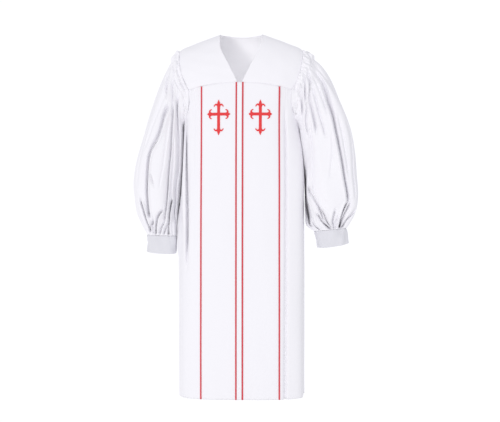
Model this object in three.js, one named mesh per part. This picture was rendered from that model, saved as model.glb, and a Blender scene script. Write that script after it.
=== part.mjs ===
// A pulpit robe with bishop sleeves, filled out as when it is worn, with nobody inside.
// Millimetres, +Z up. The origin lies midway between the two neck points, on the shoulder line.
// The front faces -Y. Left and right are the wearer's own: left is +X.
import * as THREE from 'three';

const { clamp, lerp, smoothstep } = THREE.MathUtils;
const HALF_TURN = Math.PI;
const QUARTER_TURN = Math.PI / 2;

// ---------------------------------------------------------------------------------------------
// Driving dimensions
// ---------------------------------------------------------------------------------------------

const WALL = 2; // cloth wall
const SEAM_GAP = 0.3; // clearance between neighbouring pieces
const HEM_DROP = 1328; // hem below the neck points
const UNDERARM_DROP = 335; // foot of the armhole below the neck points

// Shoulders: how the crest of the shoulders falls from the neck to the sleeve.
const NECK_HALF_WIDTH = 77;
const NECK_BACK_DEPTH = 66; // how far the back neck edge lies behind the shoulder line
const TIP_X = 228; // end of the shoulder seam
const SHOULDER_FALL = 0.371; // fall of the shoulder seam, per millimetre of width
const TIP_ROUND_START = 205;
const TIP_ROUND = 0.012; // extra fall that rounds the shoulder over into the sleeve
const RIDGE_INSET = 0.0013; // parts the front and back yokes along the shoulder seam

// Yokes: lower seam and the corner where it meets the armhole.
const YOKES = {
  front: { way: -1, seamDrop: 189, seamArch: 26, cornerX: 187, roundness: 2.0 },
  back: { way: 1, seamDrop: 176, seamArch: 14, cornerX: 190, roundness: 2.8 },
};
const YOKE_NARROWING = 4; // how late the armhole turns inward on its way down to the corner

// Half-width of the front neck edge at each drop: a V with its upper ends turned up to the neck.
const NECK_FRONT = [
  { drop: 0, halfWidth: 77 },
  { drop: 30, halfWidth: 76 },
  { drop: 62, halfWidth: 70.5 },
  { drop: 124, halfWidth: 40 },
  { drop: 186, halfWidth: 9 },
];

// Outer sections of the body, from the yoke down: half-widths, depths and how square each one is.
const BODY_SECTIONS = [
  { drop: 160, right: 215, left: 215, front: 111, back: 116, square: 3.2 },
  { drop: 215, right: 212, left: 212, front: 116, back: 120, square: 3.2 },
  { drop: 270, right: 205, left: 204, front: 121, back: 125, square: 3.1 },
  { drop: 335, right: 206, left: 203, front: 126, back: 130, square: 3.0 },
  { drop: 440, right: 211, left: 217, front: 130, back: 135, square: 3.0 },
  { drop: 560, right: 220, left: 227, front: 134, back: 139, square: 3.0 },
  { drop: 700, right: 227, left: 230, front: 137, back: 143, square: 3.0 },
  { drop: 830, right: 229, left: 230, front: 139, back: 147, square: 3.1 },
  { drop: 1000, right: 229, left: 229, front: 141, back: 151, square: 3.2 },
  { drop: 1328, right: 229, left: 229, front: 142, back: 156, square: 3.2 },
];

// Front panels and what lies on them, as distances along the cloth from the centre front.
const PLACKET_HALF_WIDTH = 8.6;
const INNER_PIPING_ARC = 11.7;
const OUTER_PIPING_ARCS = { '-1': 139, 1: 144 }; // right and left, also the seam of the side panels
const PIPING_WIDTH = 5.6;
const PIPING_HEIGHT = 2.2;
const CROSS_ARC = 75;
const CROSS_DROP = 305; // drop of the cross's arms
const CROSS_HEIGHT = 1.2;

// Soft vertical folds of the front side panels: troughs (positive depth) and ridges (negative).
const SIDE_FOLDS = [
  { side: -1, arc: 200, top: 245, foot: 850, width: 12, depth: 11 },
  { side: -1, arc: 172, top: 215, foot: 620, width: 15, depth: 3 },
  { side: -1, arc: 232, top: 520, foot: 1500, width: 16, depth: 8 },
  { side: -1, arc: 266, top: 430, foot: 1500, width: 15, depth: 7 },
  { side: 1, arc: 166, top: 225, foot: 1500, width: 11, depth: 7 },
  { side: 1, arc: 186, top: 300, foot: 1500, width: 12, depth: -3 },
  { side: 1, arc: 222, top: 330, foot: 1010, width: 16, depth: 9 },
  { side: 1, arc: 262, top: 480, foot: 1500, width: 15, depth: 7 },
];
const FOLD_FADE = 90; // length over which a fold dies away at its ends

// Flutes of the back.
const FLUTES = 11;
const FLUTE_DEPTH_TOP = 3;
const FLUTE_DEPTH_HEM = 12;

// Sections of each sleeve from the armhole to the cuff: where its outer and inner edges lie, how far
// it reaches to the front and back, and how far its middle lies behind the shoulder line.
const SLEEVE_SECTIONS = {
  right: [
    { outX: 249, outDrop: 84, inX: 212.5, inDrop: 350, front: 88, back: 88, middle: 0 },
    { outX: 279, outDrop: 138, inX: 213.5, inDrop: 372, front: 95, back: 95, middle: 0 },
    { outX: 311, outDrop: 210, inX: 215, inDrop: 402, front: 100, back: 100, middle: 0 },
    { outX: 344, outDrop: 300, inX: 217, inDrop: 444, front: 103, back: 103, middle: -1 },
    { outX: 370, outDrop: 390, inX: 221, inDrop: 494, front: 105, back: 105, middle: -3 },
    { outX: 389, outDrop: 470, inX: 225, inDrop: 545, front: 106, back: 106, middle: -5 },
    { outX: 397, outDrop: 545, inX: 228, inDrop: 594, front: 104, back: 104, middle: -8 },
    { outX: 392, outDrop: 607, inX: 230.5, inDrop: 636, front: 97, back: 97, middle: -10 },
    { outX: 385, outDrop: 658, inX: 232.5, inDrop: 676, front: 84, back: 84, middle: -12 },
    { outX: 369, outDrop: 700, inX: 233.5, inDrop: 711, front: 62, back: 62, middle: -13 },
    { outX: 347, outDrop: 741, inX: 236, inDrop: 745, front: 34, back: 34, middle: -14 },
  ],
  left: [
    { outX: 255, outDrop: 80, inX: 211, inDrop: 350, front: 88, back: 88, middle: 0 },
    { outX: 301, outDrop: 127, inX: 214, inDrop: 372, front: 96, back: 96, middle: 0 },
    { outX: 341, outDrop: 187, inX: 218, inDrop: 402, front: 101, back: 101, middle: 0 },
    { outX: 377, outDrop: 268, inX: 224, inDrop: 442, front: 104, back: 104, middle: -1 },
    { outX: 404, outDrop: 350, inX: 228, inDrop: 490, front: 106, back: 106, middle: -3 },
    { outX: 418, outDrop: 435, inX: 232.5, inDrop: 542, front: 107, back: 107, middle: -5 },
    { outX: 425, outDrop: 520, inX: 234.5, inDrop: 590, front: 105, back: 105, middle: -8 },
    { outX: 431, outDrop: 590, inX: 236, inDrop: 632, front: 98, back: 98, middle: -10 },
    { outX: 423, outDrop: 643, inX: 238, inDrop: 672, front: 85, back: 85, middle: -12 },
    { outX: 405, outDrop: 684, inX: 241, inDrop: 706, front: 62, back: 62, middle: -13 },
    { outX: 387, outDrop: 716, inX: 268, inDrop: 727, front: 34, back: 34, middle: -14 },
  ],
};
const SLEEVE_SQUARE = 2.3;
const ARMHOLE_CORNER_TURN = 0.55 * HALF_TURN; // turn round the sleeve at which the yoke corner lies
const ARMHOLE_GAP = 1.3; // clearance of the outer edges; the walls' inner corners lie closer
const GATHERS = 15;
const HEAD_GATHER_DEPTH = 4.5;
const CUFF_GATHER_DEPTH = 6;

// Long folds of the sleeves, as troughs that run from one end to the other. Across is 1 at the outer
// edge and -1 at the inner one; face is -1 on the front and 1 on the back.
const SLEEVE_FOLDS = [
  { side: -1, face: -1, from: 0.16, to: 0.97, acrossTop: 0.1, acrossFoot: 0.52, width: 0.13, depth: 13 },
  { side: -1, face: -1, from: 0.1, to: 0.97, acrossTop: -0.12, acrossFoot: -0.3, width: 0.12, depth: 9 },
  { side: -1, face: -1, from: 0.06, to: 0.95, acrossTop: -0.5, acrossFoot: -0.72, width: 0.12, depth: 10 },
  { side: -1, face: 1, from: 0.12, to: 0.96, acrossTop: 0.2, acrossFoot: 0.45, width: 0.14, depth: 12 },
  { side: -1, face: 1, from: 0.1, to: 0.9, acrossTop: -0.3, acrossFoot: -0.45, width: 0.13, depth: 9 },
  { side: 1, face: -1, from: 0.04, to: 0.93, acrossTop: 0.42, acrossFoot: 0.64, width: 0.12, depth: 13 },
  { side: 1, face: -1, from: 0.06, to: 0.5, acrossTop: -0.1, acrossFoot: -0.18, width: 0.11, depth: 6 },
  { side: 1, face: -1, from: 0.08, to: 0.8, acrossTop: -0.6, acrossFoot: -0.72, width: 0.12, depth: 8 },
  { side: 1, face: 1, from: 0.1, to: 0.95, acrossTop: 0.3, acrossFoot: 0.5, width: 0.14, depth: 12 },
  { side: 1, face: 1, from: 0.1, to: 0.9, acrossTop: -0.25, acrossFoot: -0.5, width: 0.13, depth: 9 },
];

// Lower edges of the cuffs, as in the sleeve sections.
const CUFF_FEET = {
  right: { outX: 350, outDrop: 800, inX: 238, inDrop: 807, front: 35, back: 35, middle: -12 },
  left: { outX: 395, outDrop: 769, inX: 280, inDrop: 785, front: 35, back: 35, middle: -12 },
};
const CUFF_FRONT_DIP = 6; // how far the front of the cuff's edge hangs below its sides

const CLOTH_WHITE = new THREE.MeshStandardMaterial({ color: 0xf3f2f7, roughness: 0.72, metalness: 0 });
const PIPING_RED = new THREE.MeshStandardMaterial({ color: 0xc4242c, roughness: 0.55, metalness: 0 });
const THREAD_RED = new THREE.MeshStandardMaterial({ color: 0xd8242a, roughness: 0.45, metalness: 0 });

// ---------------------------------------------------------------------------------------------
// Curves and walls
// ---------------------------------------------------------------------------------------------

// Evenly spaced values from first to last.
function spread(first, last, count) {
  return Array.from({ length: count + 1 }, (_, i) => lerp(first, last, i / count));
}

// Reads one column of a table, on a smooth curve through its rows.
function readCurve(table, key, column, at) {
  const last = table.length - 1;
  let row = 0;
  while (row < last - 1 && table[row + 1][key] < at) row += 1;
  const span = table[row + 1][key] - table[row][key];
  const t = clamp((at - table[row][key]) / span, 0, 1);
  const slopeAt = (index) => {
    const before = table[Math.max(index - 1, 0)];
    const after = table[Math.min(index + 1, last)];
    return (after[column] - before[column]) / (after[key] - before[key]);
  };
  const start = table[row][column];
  const rise = table[row + 1][column] - start;
  const leave = slopeAt(row) * span;
  const arrive = slopeAt(row + 1) * span;
  return start + t * (leave + t * (3 * rise - 2 * leave - arrive + t * (leave + arrive - 2 * rise)));
}

// The value between low and high at which a rising function passes zero.
function solveRising(rising, low, high) {
  let [from, to] = [low, high];
  for (let step = 0; step < 40; step += 1) {
    const middle = (from + to) / 2;
    if (rising(middle) > 0) to = middle;
    else from = middle;
  }
  return (from + to) / 2;
}

// Outward normal of a surface, from its slopes, inside the range of its two parameters.
function normalAt(surface, u, v, us, vs) {
  const step = 0.0005;
  const [uLow, uHigh] = [us[0], us[us.length - 1]];
  const [vLow, vHigh] = [vs[0], vs[vs.length - 1]];
  const alongU = surface(clamp(u + step, uLow, uHigh), v).sub(surface(clamp(u - step, uLow, uHigh), v));
  const alongV = surface(u, clamp(v + step, vLow, vHigh)).sub(surface(u, clamp(v - step, vLow, vHigh)));
  return alongU.cross(alongV).normalize();
}

// A closed body from vertices and triangles, turned so that its faces point out.
function closedGeometry(points, triangles) {
  let volume = 0;
  for (const [a, b, c] of triangles) {
    volume += points[a].dot(points[b].clone().cross(points[c]));
  }
  const facing = volume > 0 ? triangles : triangles.map(([a, b, c]) => [a, c, b]);
  const geometry = new THREE.BufferGeometry();
  const positions = points.flatMap((point) => point.toArray());
  geometry.setAttribute('position', new THREE.Float32BufferAttribute(positions, 3));
  geometry.setIndex(facing.flat());
  geometry.computeVertexNormals();
  return geometry;
}

// A wall of cloth: the surface outside, the same surface moved in by the wall, and the edges closed.
// A ring closes on itself along u. The sign says on which side of u x v the outside lies.
function clothWall(surface, us, vs, { sign, ring = false, wall = WALL }) {
  const columns = ring ? us.length - 1 : us.length;
  const outside = [];
  const inside = [];
  for (const v of vs) {
    for (const u of us.slice(0, columns)) {
      const point = surface(u, v);
      const normal = normalAt(surface, u, v, us, vs).multiplyScalar(sign);
      outside.push(point);
      inside.push(point.clone().addScaledVector(normal, -wall));
    }
  }
  const points = [...outside, ...inside];
  const offset = outside.length;
  const triangles = [];
  const quad = (a, b, c, d) => triangles.push([a, b, c], [a, c, d]);
  const at = (column, row) => row * columns + (column % columns);
  const steps = ring ? columns : columns - 1;
  for (let row = 0; row < vs.length - 1; row += 1) {
    for (let column = 0; column < steps; column += 1) {
      const corners = [at(column, row), at(column + 1, row), at(column + 1, row + 1), at(column, row + 1)];
      quad(...corners);
      const [a, b, c, d] = corners.map((corner) => corner + offset);
      triangles.push([a, c, b], [a, d, c]);
    }
  }
  const lastRow = vs.length - 1;
  for (let column = 0; column < steps; column += 1) {
    quad(at(column + 1, 0), at(column, 0), at(column, 0) + offset, at(column + 1, 0) + offset);
    const [a, b] = [at(column, lastRow), at(column + 1, lastRow)];
    quad(a, b, b + offset, a + offset);
  }
  if (!ring) {
    for (let row = 0; row < lastRow; row += 1) {
      quad(at(0, row), at(0, row + 1), at(0, row + 1) + offset, at(0, row) + offset);
      const [a, b] = [at(steps, row), at(steps, row + 1)];
      quad(b, a, a + offset, b + offset);
    }
  }
  return closedGeometry(points, triangles);
}

// ---------------------------------------------------------------------------------------------
// Body: sections, folds and flutes
// ---------------------------------------------------------------------------------------------

const ARC_STEPS = 90;
const sectionCache = new Map();

// One quarter of a section, from the middle (front or back) to the side, with its length so far.
function quarterArc(halfWidth, depth, square) {
  const points = [];
  let length = 0;
  for (let step = 0; step <= ARC_STEPS; step += 1) {
    const turn = (step / ARC_STEPS) * QUARTER_TURN;
    const reach = ((Math.sin(turn) / halfWidth) ** square + (Math.cos(turn) / depth) ** square) ** (-1 / square);
    const x = reach * Math.sin(turn);
    const y = reach * Math.cos(turn);
    if (step > 0) length += Math.hypot(x - points[step - 1].x, y - points[step - 1].y);
    points.push({ x, y, length });
  }
  return { points, length };
}

// The section of one side of the body at a drop: its front and back quarters.
function bodySection(side, drop) {
  const key = `${side}:${drop.toFixed(3)}`;
  if (!sectionCache.has(key)) {
    const read = (column) => readCurve(BODY_SECTIONS, 'drop', column, drop);
    const halfWidth = read(side > 0 ? 'left' : 'right');
    const square = read('square');
    sectionCache.set(key, {
      halfWidth,
      square,
      depth: { front: read('front'), back: read('back') },
      front: quarterArc(halfWidth, read('front'), square),
      back: quarterArc(halfWidth, read('back'), square),
    });
  }
  return sectionCache.get(key);
}

// The point of a quarter at a length from its middle, with the outward normal there.
function pointOnQuarter(quarter, way, length) {
  const { points } = quarter;
  let step = 1;
  while (step < points.length - 1 && points[step].length < length) step += 1;
  const [a, b] = [points[step - 1], points[step]];
  const t = (length - a.length) / (b.length - a.length);
  const run = Math.hypot(b.x - a.x, b.y - a.y);
  return {
    x: lerp(a.x, b.x, t),
    y: way * lerp(a.y, b.y, t),
    normalX: (a.y - b.y) / run,
    normalY: (way * (b.x - a.x)) / run,
  };
}

// How far the cloth lies outside its plain section: side folds in front, flutes behind.
function bodyRelief(side, arc, drop, section) {
  const sideArc = section.front.length;
  let relief = 0;
  for (const fold of SIDE_FOLDS) {
    if (fold.side === side) {
      const offset = (arc - fold.arc) / fold.width;
      const begins = smoothstep(drop, fold.top, fold.top + FOLD_FADE);
      const ends = 1 - smoothstep(drop, fold.foot - FOLD_FADE, fold.foot);
      relief -= fold.depth * begins * ends * Math.exp(-offset * offset);
    }
  }
  const behind = clamp((arc - sideArc) / section.back.length, 0, 1);
  if (behind > 0) {
    const across = side * (1 - behind);
    const depth = lerp(FLUTE_DEPTH_TOP, FLUTE_DEPTH_HEM, smoothstep(drop, 200, HEM_DROP));
    const begins = smoothstep(drop, 185, 300) * smoothstep(behind, 0, 0.14);
    const phase = HALF_TURN * FLUTES * (across + 0.035 * Math.sin(5 * across + 0.6));
    relief += depth * begins * (Math.cos(phase) - 0.2);
  }
  return relief;
}

// A point of the body's cloth. The arc is measured from the centre front, round the side to the back.
function bodyPoint(side, arc, drop, lift = 0) {
  const section = bodySection(side, drop);
  const inFront = arc <= section.front.length;
  const place = inFront
    ? pointOnQuarter(section.front, -1, arc)
    : pointOnQuarter(section.back, 1, section.front.length + section.back.length - arc);
  const out = lift + bodyRelief(side, arc, drop, section);
  return new THREE.Vector3(side * (place.x + out * place.normalX), place.y + out * place.normalY, -drop);
}

// ---------------------------------------------------------------------------------------------
// Yokes and armholes
// ---------------------------------------------------------------------------------------------

// Height of the shoulder crest at a distance from the middle, carried smoothly over the neck.
function crestHeight(x) {
  const crown = (NECK_HALF_WIDTH * SHOULDER_FALL) / 2;
  if (x < NECK_HALF_WIDTH) return crown * (1 - (x / NECK_HALF_WIDTH) ** 2);
  const round = TIP_ROUND * Math.max(x - TIP_ROUND_START, 0) ** 2;
  return -(x - NECK_HALF_WIDTH) * SHOULDER_FALL - round;
}

// Drop of a yoke's lower seam at a distance from the middle.
function seamDrop(yoke, x) {
  return yoke.seamDrop + yoke.seamArch * (x / yoke.cornerX) ** 2;
}

// A point of a yoke: u runs from the middle to the armhole, v from the shoulder seam to the lower seam.
function yokePoint(part, side, u, v) {
  const yoke = YOKES[part];
  const drop = seamDrop(yoke, u * yoke.cornerX);
  const section = bodySection(side, drop);
  const inward = ((u * yoke.cornerX) / section.halfWidth) ** section.square;
  const depth = section.depth[part] * (1 - inward) ** (1 / section.square);
  const turn = v * QUARTER_TURN;
  const [sine, cosine] = [Math.sin(turn), Math.cos(turn)];
  const reach = (sine ** yoke.roundness + cosine ** yoke.roundness) ** (-1 / yoke.roundness);
  const crest = crestHeight(u * TIP_X);
  const x = u * lerp(TIP_X, yoke.cornerX, v ** YOKE_NARROWING);
  return new THREE.Vector3(side * x, yoke.way * depth * reach * sine, crest - (crest + drop) * (1 - reach * cosine));
}

// Where on a yoke a point of the neck edge lies, from its half-width and either its drop or its depth.
function neckPlace(part, side, halfWidth, measure) {
  const yoke = YOKES[part];
  const uAt = (v) => halfWidth / lerp(TIP_X, yoke.cornerX, v ** YOKE_NARROWING);
  const v = solveRising((trial) => measure(yokePoint(part, side, uAt(trial), trial)), RIDGE_INSET, 1);
  return { u: uAt(v), v };
}

// The upper edge of a front yoke: from the foot of the V up to the neck point, then out to the tip.
function frontTopPlace(side, share) {
  const neckShare = 0.45;
  if (share < neckShare) {
    const drop = lerp(NECK_FRONT[NECK_FRONT.length - 1].drop, 0, share / neckShare);
    const halfWidth = readCurve(NECK_FRONT, 'drop', 'halfWidth', drop);
    return neckPlace('front', side, halfWidth, (point) => -drop - point.z);
  }
  const out = (share - neckShare) / (1 - neckShare);
  return { u: lerp(NECK_HALF_WIDTH / TIP_X, 1, out), v: RIDGE_INSET };
}

// The upper edge of the back yoke on one side: from the back neck round to the neck point, then out.
function backTopPlace(side, share) {
  const neckShare = 0.42;
  if (share < neckShare) {
    const turn = (share / neckShare) * QUARTER_TURN;
    const depth = NECK_BACK_DEPTH * Math.cos(turn);
    return neckPlace('back', side, NECK_HALF_WIDTH * Math.sin(turn), (point) => point.y - depth);
  }
  const out = (share - neckShare) / (1 - neckShare);
  return { u: lerp(NECK_HALF_WIDTH / TIP_X, 1, out), v: RIDGE_INSET };
}

function frontYokeSurface(side) {
  const firstFoot = NECK_FRONT[NECK_FRONT.length - 1].halfWidth / YOKES.front.cornerX;
  return (share, down) => {
    const top = frontTopPlace(side, share);
    return yokePoint('front', side, lerp(top.u, lerp(firstFoot, 1, share), down), lerp(top.v, 1, down));
  };
}

function backYokeSurface() {
  return (across, down) => {
    const side = across < 0 ? -1 : 1;
    const top = backTopPlace(side, Math.abs(across));
    return yokePoint('back', side, lerp(top.u, Math.abs(across), down), lerp(top.v, 1, down));
  };
}

// Where the yoke corner lies along a side or back panel, as a share of the panel's width on that side.
function cornerShare(part, side) {
  const yoke = YOKES[part];
  const section = bodySection(side, seamDrop(yoke, yoke.cornerX));
  const arc = solveRising((trial) => pointOnQuarter(section[part], yoke.way, trial).x - yoke.cornerX, 0,
    section[part].length);
  const start = part === 'front' ? OUTER_PIPING_ARCS[side] : 0;
  return (arc - start) / (section[part].length - start);
}

const CORNER_SHARES = {
  front: { '-1': cornerShare('front', -1), 1: cornerShare('front', 1) },
  back: { '-1': cornerShare('back', -1), 1: cornerShare('back', 1) },
};

// Drop of the upper edge of a side or back panel: the yoke seam, then the armhole down to the underarm.
function panelTopDrop(part, side, share) {
  const yoke = YOKES[part];
  const corner = CORNER_SHARES[part][side];
  if (share <= corner) {
    const section = bodySection(side, yoke.seamDrop);
    const start = part === 'front' ? OUTER_PIPING_ARCS[side] : 0;
    const arc = lerp(start, section[part].length, share);
    return seamDrop(yoke, Math.min(pointOnQuarter(section[part], yoke.way, arc).x, yoke.cornerX));
  }
  const q = (share - corner) / (1 - corner);
  const cornerDrop = seamDrop(yoke, yoke.cornerX);
  return lerp(cornerDrop, UNDERARM_DROP, Math.sqrt(1 - (1 - q) ** 2));
}

// The point of a side or back panel at a share of its width and a drop.
function panelPoint(part, side, share, drop) {
  const section = bodySection(side, drop);
  const arc = part === 'front'
    ? lerp(OUTER_PIPING_ARCS[side], section.front.length, share)
    : section.front.length + section.back.length * (1 - share);
  return bodyPoint(side, arc, drop);
}

// The armhole edge, as a turn round the sleeve: 0 at the shoulder tip, a half turn at the underarm.
function armholePoint(side, turn) {
  const round = turn <= HALF_TURN ? turn : 2 * HALF_TURN - turn;
  const part = turn <= HALF_TURN ? 'front' : 'back';
  if (round <= ARMHOLE_CORNER_TURN) return yokePoint(part, side, 1, round / ARMHOLE_CORNER_TURN);
  const q = (round - ARMHOLE_CORNER_TURN) / (HALF_TURN - ARMHOLE_CORNER_TURN);
  const share = lerp(CORNER_SHARES[part][side], 1, q);
  return panelPoint(part, side, share, panelTopDrop(part, side, share));
}

// ---------------------------------------------------------------------------------------------
// Sleeves and cuffs
// ---------------------------------------------------------------------------------------------

// A point of an oval sleeve section.
function sectionPoint(side, section, turn) {
  const [cosine, sine] = [Math.cos(turn), Math.sin(turn)];
  const power = 2 / SLEEVE_SQUARE;
  const across = Math.sign(cosine) * Math.abs(cosine) ** power;
  const along = Math.abs(sine) ** power;
  const depth = sine > 0 ? -section.front : section.back;
  return new THREE.Vector3(
    side * ((section.outX + section.inX) / 2 + (across * (section.outX - section.inX)) / 2),
    section.middle + depth * along,
    -((section.outDrop + section.inDrop) / 2 + (across * (section.outDrop - section.inDrop)) / 2),
  );
}

// A smooth curve through the armhole and every section, read at a share of the sleeve's length.
function plainSleevePoint(side, turn, share) {
  const sections = SLEEVE_SECTIONS[side > 0 ? 'left' : 'right'];
  const knotAt = (index) => {
    if (index > 0) return sectionPoint(side, sections[index - 1], turn);
    const edge = armholePoint(side, turn);
    const away = sectionPoint(side, sections[0], turn).sub(edge).normalize();
    return edge.addScaledVector(away, ARMHOLE_GAP);
  };
  const last = sections.length;
  const place = share * last;
  const index = Math.min(Math.floor(place), last - 1);
  const knots = [Math.max(index - 1, 0), index, index + 1, Math.min(index + 2, last)].map(knotAt);
  const t = place - index;
  const blend = (before, start, end, after) => {
    const leave = (end - before) / 2;
    const arrive = (after - start) / 2;
    const rise = end - start;
    return start + t * (leave + t * (3 * rise - 2 * leave - arrive + t * (leave + arrive - 2 * rise)));
  };
  return new THREE.Vector3(
    blend(...knots.map((knot) => knot.x)),
    blend(...knots.map((knot) => knot.y)),
    blend(...knots.map((knot) => knot.z)),
  );
}

// How far the sleeve's cloth lies outside its plain form: gathers at both ends and long folds.
function sleeveRelief(side, turn, share) {
  const uneven = turn + 0.09 * Math.sin(2 * turn + side) + 0.05 * Math.sin(5 * turn);
  const wave = Math.cos(GATHERS * uneven);
  const underarm = 1 - 0.75 * smoothstep(-Math.cos(turn), 0.3, 0.95);
  const head = smoothstep(share, 0, 0.05) * Math.exp(-share / 0.11) * underarm;
  const foot = (1 - smoothstep(share, 0.965, 1) * 0.8) * Math.exp(-(1 - share) / 0.09);
  let relief = wave * (HEAD_GATHER_DEPTH * head * 1.5 + CUFF_GATHER_DEPTH * foot);
  const across = Math.cos(turn);
  const face = Math.sin(turn) > 0 ? -1 : 1;
  for (const fold of SLEEVE_FOLDS) {
    if (fold.side === side && fold.face === face) {
      const run = clamp((share - fold.from) / (fold.to - fold.from), 0, 1);
      const line = lerp(fold.acrossTop, fold.acrossFoot, Math.sqrt(run));
      const offset = (across - line) / fold.width;
      const swell = Math.sin(HALF_TURN * run) ** 0.7;
      relief -= fold.depth * swell * Math.exp(-offset * offset);
    }
  }
  return relief;
}

function sleeveSurface(side) {
  return (turn, share) => {
    const point = plainSleevePoint(side, turn, share);
    const step = 0.002;
    const round = plainSleevePoint(side, turn + step, share).sub(plainSleevePoint(side, turn - step, share));
    const along = plainSleevePoint(side, turn, Math.min(share + step, 1))
      .sub(plainSleevePoint(side, turn, Math.max(share - step, 0)));
    const outward = round.cross(along).normalize().multiplyScalar(side);
    return point.addScaledVector(outward, sleeveRelief(side, turn, share));
  };
}

function cuffSurface(side) {
  const name = side > 0 ? 'left' : 'right';
  const sections = SLEEVE_SECTIONS[name];
  const top = sections[sections.length - 1];
  return (turn, share) => {
    const point = sectionPoint(side, top, turn).lerp(sectionPoint(side, CUFF_FEET[name], turn), share);
    point.z -= SEAM_GAP + 0.2;
    point.z -= CUFF_FRONT_DIP * share * Math.max(Math.sin(turn), 0);
    return point;
  };
}

// ---------------------------------------------------------------------------------------------
// Trim: piping, placket and crosses
// ---------------------------------------------------------------------------------------------

const BODY_ROWS = 11;
const bodyRowShares = spread(0, 1, BODY_ROWS).map((share) => share ** 1.25);

// A corded piping down the body: a low rounded strip that lies on the cloth.
function pipingGeometry(side, arc, topDrop) {
  const half = PIPING_WIDTH / 2;
  const profile = [
    { across: -half, lift: 0 },
    { across: -half * 0.75, lift: PIPING_HEIGHT * 0.75 },
    { across: 0, lift: PIPING_HEIGHT },
    { across: half * 0.75, lift: PIPING_HEIGHT * 0.75 },
    { across: half, lift: 0 },
  ];
  const points = [];
  for (const share of bodyRowShares) {
    const drop = lerp(topDrop, HEM_DROP, share);
    for (const { across, lift } of profile) points.push(bodyPoint(side, arc + across, drop, SEAM_GAP + lift));
  }
  const triangles = [];
  const count = profile.length;
  for (let row = 0; row < bodyRowShares.length - 1; row += 1) {
    for (let corner = 0; corner < count; corner += 1) {
      const next = (corner + 1) % count;
      const [a, b] = [row * count + corner, row * count + next];
      triangles.push([a, b, b + count], [a, b + count, a + count]);
    }
  }
  const lastRow = points.length - count;
  for (let corner = 1; corner < count - 1; corner += 1) {
    triangles.push([0, corner + 1, corner], [lastRow, lastRow + corner, lastRow + corner + 1]);
  }
  return closedGeometry(points, triangles);
}

// One arm of a fleury cross, pointing up from the origin: a bar that ends in a leaf and two curls.
function crossArm(length, reach) {
  const bar = 4.4; // half-width of the bar
  const leaf = 5.2; // half-width of the pointed end leaf
  return [
    [bar, bar],
    [bar, length * 0.36],
    [bar * 0.94, length - 22],
    [reach * 0.62, length - 18.5],
    [reach * 0.86, length - 22.5],
    [reach, length - 29],
    [reach * 1.04, length - 21],
    [reach * 0.88, length - 14.5],
    [leaf + 1.2, length - 12.5],
    [leaf, length - 8],
    [0, length],
  ];
}

// The outline of the whole cross, arm by arm, with the foot longer than the other arms.
function crossOutline() {
  const arms = [
    { length: 51, reach: 17.5 },
    { length: 40.5, reach: 17.5 },
    { length: 75, reach: 17.5 },
    { length: 40.5, reach: 17.5 },
  ];
  const outline = [];
  arms.forEach(({ length, reach }, index) => {
    const rightHalf = crossArm(length, reach);
    const leftHalf = rightHalf.slice(0, -1).map(([x, y]) => [-x, y]);
    const angle = -index * QUARTER_TURN;
    const [cosine, sine] = [Math.cos(angle), Math.sin(angle)];
    const armPoints = [...leftHalf, ...rightHalf.reverse()];
    for (const [x, y] of armPoints.slice(0, -1)) {
      outline.push(new THREE.Vector2(x * cosine - y * sine, x * sine + y * cosine));
    }
  });
  return outline.reverse();
}

// A cross that lies on a front panel, made from the panel's points, moved out.
function crossGeometry(side) {
  const outline = crossOutline();
  const faces = THREE.ShapeUtils.triangulateShape(outline, []);
  const place = (point, lift) => bodyPoint(side, CROSS_ARC + side * point.x, CROSS_DROP - point.y, lift);
  const base = outline.map((point) => place(point, SEAM_GAP));
  const face = outline.map((point) => place(point, SEAM_GAP + CROSS_HEIGHT));
  const count = outline.length;
  const triangles = faces.flatMap(([a, b, c]) => [[a, c, b], [a + count, b + count, c + count]]);
  for (let index = 0; index < count; index += 1) {
    const next = (index + 1) % count;
    triangles.push([index, next, next + count], [index, next + count, index + count]);
  }
  return closedGeometry([...base, ...face], triangles);
}

// ---------------------------------------------------------------------------------------------
// Assembly
// ---------------------------------------------------------------------------------------------

const robe = new THREE.Group();

function addPiece(name, geometry, material) {
  const mesh = new THREE.Mesh(geometry, material);
  mesh.name = name;
  robe.add(mesh);
}

function addFrontPanel(name, side) {
  const [first, last] = [SEAM_GAP, OUTER_PIPING_ARCS[side] - SEAM_GAP / 2];
  const surface = (arc, down) => {
    const topDrop = seamDrop(YOKES.front, arc) + SEAM_GAP;
    return bodyPoint(side, arc, lerp(topDrop, HEM_DROP, down));
  };
  addPiece(name, clothWall(surface, spread(first, last, 6), bodyRowShares, { sign: -side }), CLOTH_WHITE);
}

function addFrontSide(name, side) {
  const corner = CORNER_SHARES.front[side];
  const shares = [...spread(0.001, corner, 3), ...spread(corner, 0.999, 9).slice(1)];
  const surface = (share, down) => {
    const topDrop = panelTopDrop('front', side, share) + SEAM_GAP;
    return panelPoint('front', side, share, lerp(topDrop, HEM_DROP, down));
  };
  addPiece(name, clothWall(surface, shares, bodyRowShares, { sign: -side }), CLOTH_WHITE);
}

function addBack() {
  const surface = (across, down) => {
    const side = across < 0 ? -1 : 1;
    const share = Math.abs(across);
    const topDrop = panelTopDrop('back', side, share) + SEAM_GAP;
    return panelPoint('back', side, share, lerp(topDrop, HEM_DROP, down));
  };
  const shares = spread(-0.999, 0.999, FLUTES * 5);
  addPiece('back_fluted', clothWall(surface, shares, bodyRowShares, { sign: 1 }), CLOTH_WHITE);
}

function addYokes() {
  const rows = spread(0, 0.998, 8);
  for (const [name, side] of [['yoke_front_left', 1], ['yoke_front_right', -1]]) {
    const shares = spread(0, 1, 12);
    addPiece(name, clothWall(frontYokeSurface(side), shares, rows, { sign: -side }), CLOTH_WHITE);
  }
  const shares = spread(-1, 1, 22);
  addPiece('yoke_back', clothWall(backYokeSurface(), shares, rows, { sign: 1 }), CLOTH_WHITE);
}

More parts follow.
